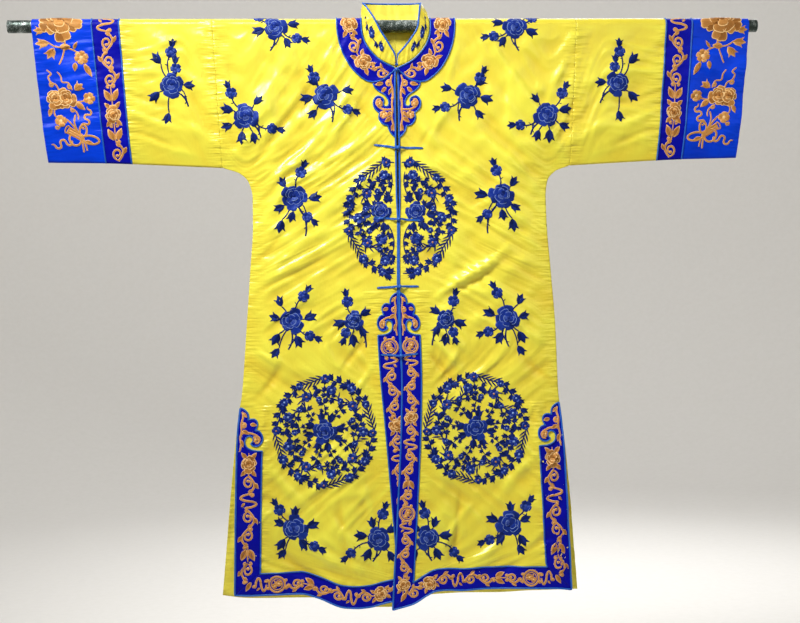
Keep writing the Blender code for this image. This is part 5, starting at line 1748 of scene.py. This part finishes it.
def copper_peony(needle, x, y, radius, turn, outer=7, lines=1.5):
    peony(needle.at(x, y), radius, turn, COPPER_TONES, COPPER_LINE, outer, lines, rim=0.3, outlined=True)


def wavy(start, end, waves, swing):
    """The line of a ribbon's flying end, whose turns fold back a little."""
    start, way = np.asarray(start, float), np.subtract(end, start)
    t = np.linspace(0, 1, round(18 * waves))
    aside = unit(np.array([-way[1], way[0]]))
    sway = swing * np.sin(2 * math.pi * waves * t) * (1 - 0.35 * t)
    along = t - 0.07 / waves * np.sin(4 * math.pi * waves * t)
    return start + way * along[:, None] + aside * sway[:, None]


def jewel(needle, span, half, side):
    """A ring tied with ribbons, with a posy inside it."""
    needle = needle.at(0, span / 2)
    for share, width in ((0.88, 3.8), (0.62, 1.8)):
        ring = [towards(angle, half * share) for angle in np.linspace(0, 360, 33)]
        stem(needle, ring, width, 0.1, (1.0, 1.0))
    draw(needle, (copper_flower, half * 0.10, -half * 0.20, half * 0.38, 20),
         (copper_flower, -half * 0.16, half * 0.26, half * 0.32, 60),
         (blade, half * 0.10, half * 0.10, 30, half * 0.42))
    for way in (-1, 1):
        for hand in (-1, 1):
            curl(needle, hand * half * 0.45, way * half * 0.84, 90 * way - hand * way * 62, half * 0.26,
                 hand * way, 2.8, 0.8)


def vine(needle, span, half, side):
    """Half a wave of the running stem, with a winding tendril, two leaves and a small curl."""
    swing, t = 0.56 * half, np.linspace(0, 1, 12)
    stem(needle, pair(side * swing * np.sin(math.pi * t), span * t), 4.3, taper=(1.0, 1.0))
    draw(needle, (curl, -side * half * 0.04, 0.04 * span, 90 + side * 66, half * 0.86, -side, 4.0, 0.98),
         (blade, side * swing * 0.95, 0.36 * span, 90 - side * 36, half * 0.70, half * 0.54),
         (blade, side * swing * 0.70, 0.74 * span, 90 + side * 62, half * 0.50, half * 0.38),
         (curl, side * swing * 0.40, 0.90 * span, 90 - side * 84, half * 0.28, side, 3.2, 0.75))


def peony_unit(needle, span, half, side):
    """A peony between four leaves."""
    for way in (-1, 1):
        for across in (-1, 1):
            blade(needle, across * half * 0.20, span / 2 + way * half * 0.50, way * 90 - across * way * 42,
                  half * 0.80)
    copper_peony(needle, 0, span / 2, half * 0.80, 18 * side, 6, 1.3)
    stem(needle, bent((0, 0), (0, span), 0.0, 5), 2.4, -0.2)


def ribbon(needle, span, half, side):
    """A ribbon that swings twice across the band, with a leaf and two curls."""
    turns = [(0, 0), (0.50, 0.10), (0.72, 0.26), (0.20, 0.40), (-0.50, 0.46), (-0.76, 0.62), (-0.34, 0.78),
             (0.24, 0.84), (0, 1)]
    stem(needle, smooth_line([(side * half * a, span * b) for a, b in turns], 5), 4.2)
    draw(needle, (blade, side * half * 0.30, span * 0.52, 90 - side * 45, half * 0.5),
         (curl, -side * half * 0.25, span * 0.10, 90 + side * 60, half * 0.30, side, 3.0, 0.8),
         (curl, side * half * 0.30, span * 0.95, 270 - side * 160, half * 0.24, side, 2.8, 0.6))


def drops(needle, span, half, side):
    """Two long leaves beside the stem, each with a curl at its tip."""
    for across in (-1, 1):
        blade(needle, across * half * 0.12, span * 0.10, 90 - across * 26, span * 0.84, half * 0.84)
        curl(needle, across * half * 0.14, span * 0.95, 270 + across * 62, half * 0.28, across, 2.8, 0.75)
    stem(needle, bent((0, 0), (0, span), 0.0, 5), 2.4)


# Units of the bands' scroll work, which run along y: their length in half band widths, and what draws them
UNITS = {"jewel": (2.3, jewel), "vine": (1.68, vine), "peony": (2.1, peony_unit), "ribbon": (1.5, ribbon),
         "drops": (1.45, drops)}
BORDER_ORDER = ("jewel", "ribbon", "vine", "vine", "vine", "peony", "vine", "ribbon", "vine", "vine", "drops",
                "vine")
BAND_ORDER = ("vine", "drops", "peony", "drops", "vine", "vine", "vine", "ribbon", "vine")
NECK_ORDER = ("vine", "peony", "vine", "peony", "vine", "vine", "peony", "vine")


def scroll_work(needle, half, start, end, order):
    """Fills a band with units in this order, over and over, stretched a little to end with a whole one."""
    chosen, total = [], 0.0
    while total < (end - start) / half:
        chosen.append(order[len(chosen) % len(order)])
        total += UNITS[chosen[-1]][0]
    if len(chosen) > 1 and total - UNITS[chosen[-1]][0] / 2 > (end - start) / half:
        total -= UNITS[chosen.pop()][0]
    stretch = (end - start) / half / total
    y, side = start, 1
    for what in chosen:
        halves, make = UNITS[what]
        here = needle.through(lambda p, y=y: pair(p[:, 0], y + p[:, 1] * stretch))
        make(here, halves * half, half, side)
        y += halves * half * stretch
        side = -side


def strip_needle(middle, wide=1.0):
    """A needle whose x runs across a band from its middle and whose y runs along it; wide stretches it
    across. Also the band's length in millimetres."""
    line = np.asarray(middle, float)
    wide = np.zeros(len(line)) + wide
    run, along = run_of(line), along_of(line) / MM
    across = pair(run[:, 1], -run[:, 0])

    def route(points):
        x, y = points.T
        beyond = np.minimum(y, 0) + np.maximum(y - along[-1], 0)
        ends = np.where((y < 0)[:, None], run[:1], run[-1:]) * beyond[:, None]
        aside = places_on(across, along, y) * (x * np.interp(y, along, wide))[:, None]
        return places_on(line, along, y) + (aside + ends) * MM
    return Needle(route), float(along[-1])


def head_route(side, apex, edge, across):
    """Millimetres across a cloud head from the free edge and down from its tip, to out and path."""
    def route(points):
        depth = apex + points[:, 1] * MM
        return pair(follow(edge, depth, 1 + side) + points[:, 0] * MM * across, depth + QUARTER)
    return route


class ROBE_OT_border_embroidery(bpy.types.Operator):
    """Embroider the copper scroll work on sleeve bands, neck bands, lappets and borders"""
    bl_idname = "robe.border_embroidery"
    bl_label = "Border embroidery"

    def execute(self, context):
        for side in SIDES:
            self.sleeve_band(side)
            self.fronts(side)
            self.neck(side)
            self.lappet(side)
        return {"FINISHED"}

    def sleeve_band(self, side):
        for face, label in ((FRONT, "front"), (BACK, "back")):
            middle = []
            for one in np.linspace(1, 0, 40):
                ends = [seam_out(seam, one * seam[2]) for seam in (BAND_SEAM, CUFF_SEAM)]
                middle.append((sum(ends) / 2, path_of(face, one * (BAND_SEAM[2] + CUFF_SEAM[2]) / 2)))
            over = np.linspace(face * QUARTER, 0.0, 6)[1:]
            middle += [((BAND_SEAM[0] + CUFF_SEAM[0]) / 2, path) for path in over]
            needle, span = strip_needle(middle)
            scroll_work(needle, 21.0, 5, span, BAND_ORDER)
            needle.piece(f"band_scrolls_{label}", side, CLOTH, "border_satin")

    def fronts(self, side):
        width, below = FRONT_BORDER[side], HEAD_HEIGHT + 0.002
        corner, far = front_corner(side, HEM_BORDER / 2), slit_corner(side, HEM_BORDER / 2)
        strips = (
            ("front_scrolls", front_line(side, width / 2, FRONT_APEX + below, corner[1]),
             width / 2 / MM - 3.6, 1, 6, 0, (FRONT_APEX, FRONT_EDGE, width / HEAD_WIDTH)),
            ("slit_scrolls", slit_line(side, SLIT_BORDER / 2, SLIT_APEX + below, far[1]), 21, 1, 6, 5,
             (SLIT_APEX, SIDE_EDGE, -1.0)),
            ("hem_scrolls", hem_line(side, HEM_BORDER / 2, corner[0] + 0.012, far[0] - 0.012), 17.5, 0, 0, 4,
             None),
        )
        for name, line, half, start, short, first, head in strips:
            needle, span = strip_needle(down(line))
            scroll_work(needle, half, start, span - short, BORDER_ORDER[first:] + BORDER_ORDER[:first])
            if head:
                self.head(Needle(head_route(side, *head), needle.store))
            else:
                for at, way in ((front_corner, 120), (slit_corner, 60)):
                    spot = at(side, HEM_BORDER * 0.66)
                    blade(Needle(spot_route(*spot), needle.store), 0, 0, way, 22, 13)
            needle.piece(name, side, TRIM_TOP, "border_satin")

    def head(self, needle):
        """Leaves and curls that fill a cloud head."""
        draw(needle,
             (stem, smooth_line([(6, 8), (9, 18), (7, 32), (9, 46), (7, 60), (9, 74), (7, 86)], 4), 3.8),
             (blade, 7, 10, 42, 14, 10), (curl, 8, 30, -20, 9.5, 1, 3.5, 1.1), (blade, 24, 32, 12, 15, 11),
             (blade, 10, 44, 30, 17, 11),
             (stem, smooth_line([(8, 54), (14, 49), (26, 50), (37, 54), (45, 61), (43, 69), (37, 70)], 4),
              3.8),
             (copper_flower, 37, 62, 6.5, 20), (blade, 8, 62, 70, 17, 11))

    def neck(self, side):
        inner, outer = neck_band_edges()
        width = np.linalg.norm(outer - inner, axis=1)
        needle, span = strip_needle((inner + outer) / 2, np.minimum(width / (BAND_HALF - NECK_HALF), 1.0))
        scroll_work(needle, 20.5, 10, span - 6, NECK_ORDER)
        needle.piece("neck_scrolls", side, TRIM_TOP, "border_satin")

    def lappet(self, side):
        """Leaves, curls and flowers on a lappet, as out and depth in millimetres."""
        needle = Needle(spot_route(0.0, 0.0))
        middle = [(9, 100), (12, 112), (9, 126), (8, 142), (10, 156), (9, 170), (11, 184), (8, 198), (7, 212)]
        branch_off = [(9, 168), (18, 169), (28, 168), (37, 163), (41, 156), (38, 149), (32, 149)]
        draw(needle, (stem, smooth_line(middle, 4), 3.9), (curl, 12, 110, -8, 11.0, 1, 3.8, 1.1),
             (blade, 26, 116, 12, 18, 12), (blade, 21, 124, 48, 16, 11), (blade, 9, 125, 62, 17, 10),
             (curl, 8, 144, 10, 4.6, 1, 2.8, 0.9), (stem, smooth_line(branch_off, 4), 3.8),
             (copper_flower, 34, 157, 7.0, 50), (copper_flower, 27, 179, 8.5, 20, 6, COPPER_LINE),
             (blade, 12, 172, 55, 16, 10), (blade, 11, 184, 36, 18, 12), (blade, 7, 196, 72, 17, 9))
        needle.piece("lappet_scrolls", side, TRIM_TOP, "border_satin")


class ROBE_OT_cuff_embroidery(bpy.types.Operator):
    """Embroider the copper peonies and the ribbon-tied bundle on the cuffs"""
    bl_idname = "robe.cuff_embroidery"
    bl_label = "Cuff embroidery"

    def execute(self, context):
        for side in SIDES:
            for face, label in ((FRONT, "front"), (BACK, "back")):
                needle = Needle(self.route(face))
                if face == FRONT:
                    copper_peony(needle, 9, -8, 41, 15, 11, 1.8)
                self.flowers(needle)
                self.bundle(needle.at(-9, 220))
                needle.piece(f"cuff_flowers_{label}", side, CLOTH, "cuff_satin")
        return {"FINISHED"}

    def route(self, face):
        """x is millimetres out from 650, y millimetres below the rod's axis; the back mirrors the front."""
        return lambda points: pair(0.650 + (points[:, 0] - 0.088 * points[:, 1]) * MM,
                                   (QUARTER + points[:, 1] * MM) * face)

    def flowers(self, needle):
        """Three stems with leaves, small flowers and two peonies, from the rod down to the bundle."""
        draw(needle,
             (blade, 40, 12, -4, 22, 17, LEAF_HALF), (stem, bent((2, 26), (18, 78), 0.06, 9), 3.2),
             (stem, bent((8, 44), (35, 34), 0.12, 7), 3.0), (blade, 33, 35, 4, 28, 21, LEAF_HALF),
             (blade, 24, 45, 54, 27, 21, LEAF_HALF), (blade, 14, 44, 185, 22, 19),
             (stem, bent((2, 46), (-22, 58), 0.12, 9), 3.0), (blade, -12, 48, 238, 19, 9),
             (copper_flower, -26, 64, 14.0, 15, 6, COPPER_LINE), (blade, -14, 74, 80, 18, 14),
             (blade, -30, 76, 116, 30, 16), (copper_peony, 32, 146, 20, 5), (copper_peony, 12, 145, 21, 40),
             (stem, smooth_line([(24, 130), (28, 118), (38, 112), (42, 102), (36, 96), (44, 88)], 4), 3.2),
             (curl, 38, 112, 30, 8.0, 1, 3.0, 1.0),
             (stem, smooth_line([(-2, 128), (4, 114), (16, 112), (18, 100), (24, 92)], 4), 3.0),
             (curl, 2, 116, 20, 8.5, 1, 3.2, 1.0), (blade, -6, 128, 215, 22, 19, LEAF_HALF),
             (stem, bent((-6, 150), (-28, 146), -0.1, 8), 2.8), (blade, -6, 152, 140, 23, 17),
             (copper_flower, -33, 144, 12.0, 30, 5, COPPER_LINE),
             (stem, bent((6, 162), (-8, 186), 0.2, 8), 3.0),
             (curl, 4, 164, 60, 7.0, 1, 3.0, 0.8), (blade, 42, 162, 70, 19, 13),
             (stem, bent((36, 164), (30, 184), -0.2, 8), 3.0), (copper_flower, 26, 188, 12.0, 10, 4),
             (curl, 30, 198, 100, 7.5, -1, 3.0, 1.0))

    def bundle(self, needle):
        """A roll of silk tied with a ribbon: its open end, its strings, its loops and its flying ends."""
        roll = needle.at(0, 0, -32)
        for y, tone in ((-4.2, 0.30), (0.0, 0.44), (4.2, 0.34)):
            fold = [(-3, y), (12, y * 1.1), (28, y * 1.2)]
            roll.line(fold, 5.0, tone, taper=(1.0, 1.0), rise=1.0, rim=0.35)
        mouth = [(29 + 3.2 * math.cos(t), 7.5 * math.sin(t)) for t in np.linspace(0, 2 * math.pi, 18)]
        stem(roll, mouth, 2.4, 0.5, (1.0, 1.0))
        for start, end, bow, width in (((-1, 0), (-2, 29), 0.03, 3.8), ((-4, 0), (-9, 26), 0.03, 3.4),
                                       ((6, -8), (24, -35), -0.08, 3.4), ((3, -8), (6, -44), 0.12, 3.4)):
            stem(needle, bent(start, end, bow, 8), width)
        turns = np.linspace(0, 2 * math.pi, 22)
        for x, y, reach, wide, way in ((0, 2, 23, 12, 10), (-2, 3, 33, 8, 172), (-3, -1, 23, 7, -104)):
            loop = [(reach / 2 * (1 - math.cos(t)), wide * math.sin(t)) for t in turns]
            stem(needle.at(x, y, way), loop, 3.9, 0.4, (1.0, 1.0))
        blade(needle, -7, 7, 160, 18, 11)
        for line in (wavy((19, 6), (57, 19), 1.75, 8.0), wavy((-9, -16), (-23, -58), 2.25, 7.0)):
            stem(needle, line, 4.0, taper=(0.9, 0.5))


# A sprig's middle as a share of the collar's length, and the collar's height there
SPRIG_START, SPRIG_TALL = 0.155, 0.034


class ROBE_OT_collar_embroidery(bpy.types.Operator):
    """Embroider the small navy sprigs on the collar's two front ends"""
    bl_idname = "robe.collar_embroidery"
    bl_label = "Collar embroidery"

    def execute(self, context):
        seam, free = collar_stations()
        total = along_of((seam + free) / 2)[-1]
        for side in SIDES:
            needle = Needle(lambda points: points)
            needle.line(bent((0, -30), (1, 30), 0.05, 14), 1.5, NAVY_STEM)
            for x, y in ((-4, -16), (4, -9), (-4, 12), (4, 18)):
                leaf(needle.at(0, y, 40 if x > 0 else 140), 10.0, 9.0, LEAF_TONES[0], layer=0.1)
            navy_flower(needle.at(1, 0), 7.0, 20, heart=NAVY_LINE, line=None)
            navy_flower(needle.at(0, 25), 5.5, 50, heart=NAVY_LINE, line=None)
            leaf(needle.at(0, -26, 265), 8.0, 7.0, LEAF_TONES[1])

            def surface(x, y, lift, side=side):
                along = SPRIG_START - y * MM / total
                along = along if side == LEFT else 1 - along
                return collar_surface(along, 0.5 + x * MM / SPRIG_TALL, lift + COLLAR_LIFT)
            needle.piece("collar_sprig", side, 0.0, "body_satin", ["navy"], surface)
        return {"FINISHED"}


# Camera: where it looks, how far away it stands, its turn to the side and its roll; lens and sensor in mm
CAMERA_AIM = (0.0012, 0.0, -0.5705)
CAMERA_DISTANCE = 2.5
CAMERA_YAW, CAMERA_ROLL = math.radians(3.18), math.radians(-0.795)
CAMERA_LENS, CAMERA_SENSOR = 56.25, 36.0

# Lights: name, place, where it shines, width of its disc and spread in degrees
LIGHTS = (
    ("key", (-1.2, -1.6, 1.45), (0.0, 0.0, -0.3), 0.8, 66),
    ("fill", (1.9, -2.6, 0.5), (0.1, 0.0, -0.3), 2.0, 180),
    ("wall", (0.0, 1.4, 2.6), (0.0, 5.5, -0.8), 2.5, 180),
    ("back", (1.2, 2.9, 1.2), (0.0, 0.0, -0.5), 2.2, 180),
)
FLOOR_SIDES, FLOOR_CURVE, WALL_TOP = 96, 1.8, 5.5
AIR_COLOUR, AIR_STRENGTH = (1.0, 0.96, 0.88, 1.0), 0.17


class ROBE_OT_stage(bpy.types.Operator):
    """Make the pale floor with its curved rim, the lights and the camera"""
    bl_idname = "robe.stage"
    bl_label = "Stage"

    def execute(self, context):
        settings = context.scene.robe_stage
        self.floor(settings)
        for name, place, aim, size, spread in LIGHTS:
            self.light(name, place, aim, size, getattr(settings, name), spread)
        world = bpy.data.worlds.new("studio_air")
        world.use_nodes = True
        background = world.node_tree.nodes["Background"]
        background.inputs["Color"].default_value = AIR_COLOUR
        background.inputs["Strength"].default_value = AIR_STRENGTH
        context.scene.world = world
        # Colours as they were chosen, without a film curve
        context.scene.view_settings.view_transform = "Standard"
        self.camera(context)
        return {"FINISHED"}

    def floor(self, settings):
        """A disc that curves up into a rim, so that every view has a plain pale ground."""
        flat, curve, down = settings.bowl, FLOOR_CURVE, settings.floor_depth
        profile = [(flat * k / 8, 0.0) for k in range(1, 9)]
        profile += [(flat + curve * math.sin(a), curve * (1 - math.cos(a)))
                    for a in np.linspace(0.1, math.pi / 2, 12)]
        profile.append((flat + curve, WALL_TOP))
        points = [(radius * math.cos(turn), radius * math.sin(turn), up - down)
                  for radius, up in profile for turn in circle(FLOOR_SIDES)]
        faces = [(a, d, c, b) for a, b, c, d in round_faces(len(profile), FLOOR_SIDES, ends=False)]
        floor = new_mesh("studio_floor", points, faces + [range(FLOOR_SIDES)])
        floor.data.materials.append(material_of("studio_paper"))

    def light(self, name, place, aim, size, power, spread):
        lamp = bpy.data.lights.new(name, "AREA")
        lamp.shape = "DISK"
        lamp.size = size
        lamp.energy = power
        lamp.spread = math.radians(spread)
        thing = bpy.data.objects.new(name, lamp)
        thing.location = place
        thing.rotation_euler = (Vector(aim) - Vector(place)).to_track_quat("-Z", "Y").to_euler()
        bpy.context.scene.collection.objects.link(thing)

    def camera(self, context):
        look = bpy.data.cameras.new("camera")
        look.sensor_width = CAMERA_SENSOR
        look.lens = CAMERA_LENS
        forward = Vector((math.sin(CAMERA_YAW), math.cos(CAMERA_YAW), 0.0))
        level = Vector((math.cos(CAMERA_YAW), -math.sin(CAMERA_YAW), 0.0))
        up = Vector((0.0, 0.0, 1.0))
        right = level * math.cos(CAMERA_ROLL) + up * math.sin(CAMERA_ROLL)
        above = up * math.cos(CAMERA_ROLL) - level * math.sin(CAMERA_ROLL)
        eye = bpy.data.objects.new("camera", look)
        turn = Matrix((right, above, -forward)).transposed().to_4x4()
        eye.matrix_world = Matrix.Translation(Vector(CAMERA_AIM) - forward * CAMERA_DISTANCE) @ turn
        context.scene.collection.objects.link(eye)
        bpy.context.scene.camera = eye


class ROBE_PT_panel(bpy.types.Panel):
    """Sizes, colours and the steps of the robe"""
    bl_label = "Embroidered satin robe"
    bl_idname = "ROBE_PT_panel"
    bl_space_type = "VIEW_3D"
    bl_region_type = "UI"
    bl_category = "Robe"

    def draw(self, context):
        for group in (context.scene.robe_cloth, context.scene.robe_thread, context.scene.robe_stage):
            box = self.layout.box()
            for name in group.__annotations__:
                box.prop(group, name)
        for operator in OPERATORS:
            self.layout.operator(operator.bl_idname)


OPERATORS = (
    ROBE_OT_stage, ROBE_OT_rod, ROBE_OT_body, ROBE_OT_sleeves, ROBE_OT_borders, ROBE_OT_collar,
    ROBE_OT_pipings, ROBE_OT_frogs, ROBE_OT_sprays, ROBE_OT_medallions, ROBE_OT_cuff_embroidery,
    ROBE_OT_border_embroidery, ROBE_OT_collar_embroidery,
)
GROUPS = {"robe_cloth": RobeCloth, "robe_thread": RobeThread, "robe_stage": RobeStage}


def register():
    for group in GROUPS.values():
        bpy.utils.register_class(group)
    for name, group in GROUPS.items():
        setattr(bpy.types.Scene, name, PointerProperty(type=group))
    for made in OPERATORS + (ROBE_PT_panel,):
        bpy.utils.register_class(made)


def unregister():
    for made in reversed(OPERATORS + (ROBE_PT_panel,)):
        bpy.utils.unregister_class(made)
    for name in GROUPS:
        delattr(bpy.types.Scene, name)
    for group in reversed(list(GROUPS.values())):
        bpy.utils.unregister_class(group)


def main():
    register()
    for operator in OPERATORS:
        family, name = operator.bl_idname.split(".")
        getattr(getattr(bpy.ops, family), name)()


if __name__ == "__main__":
    main()
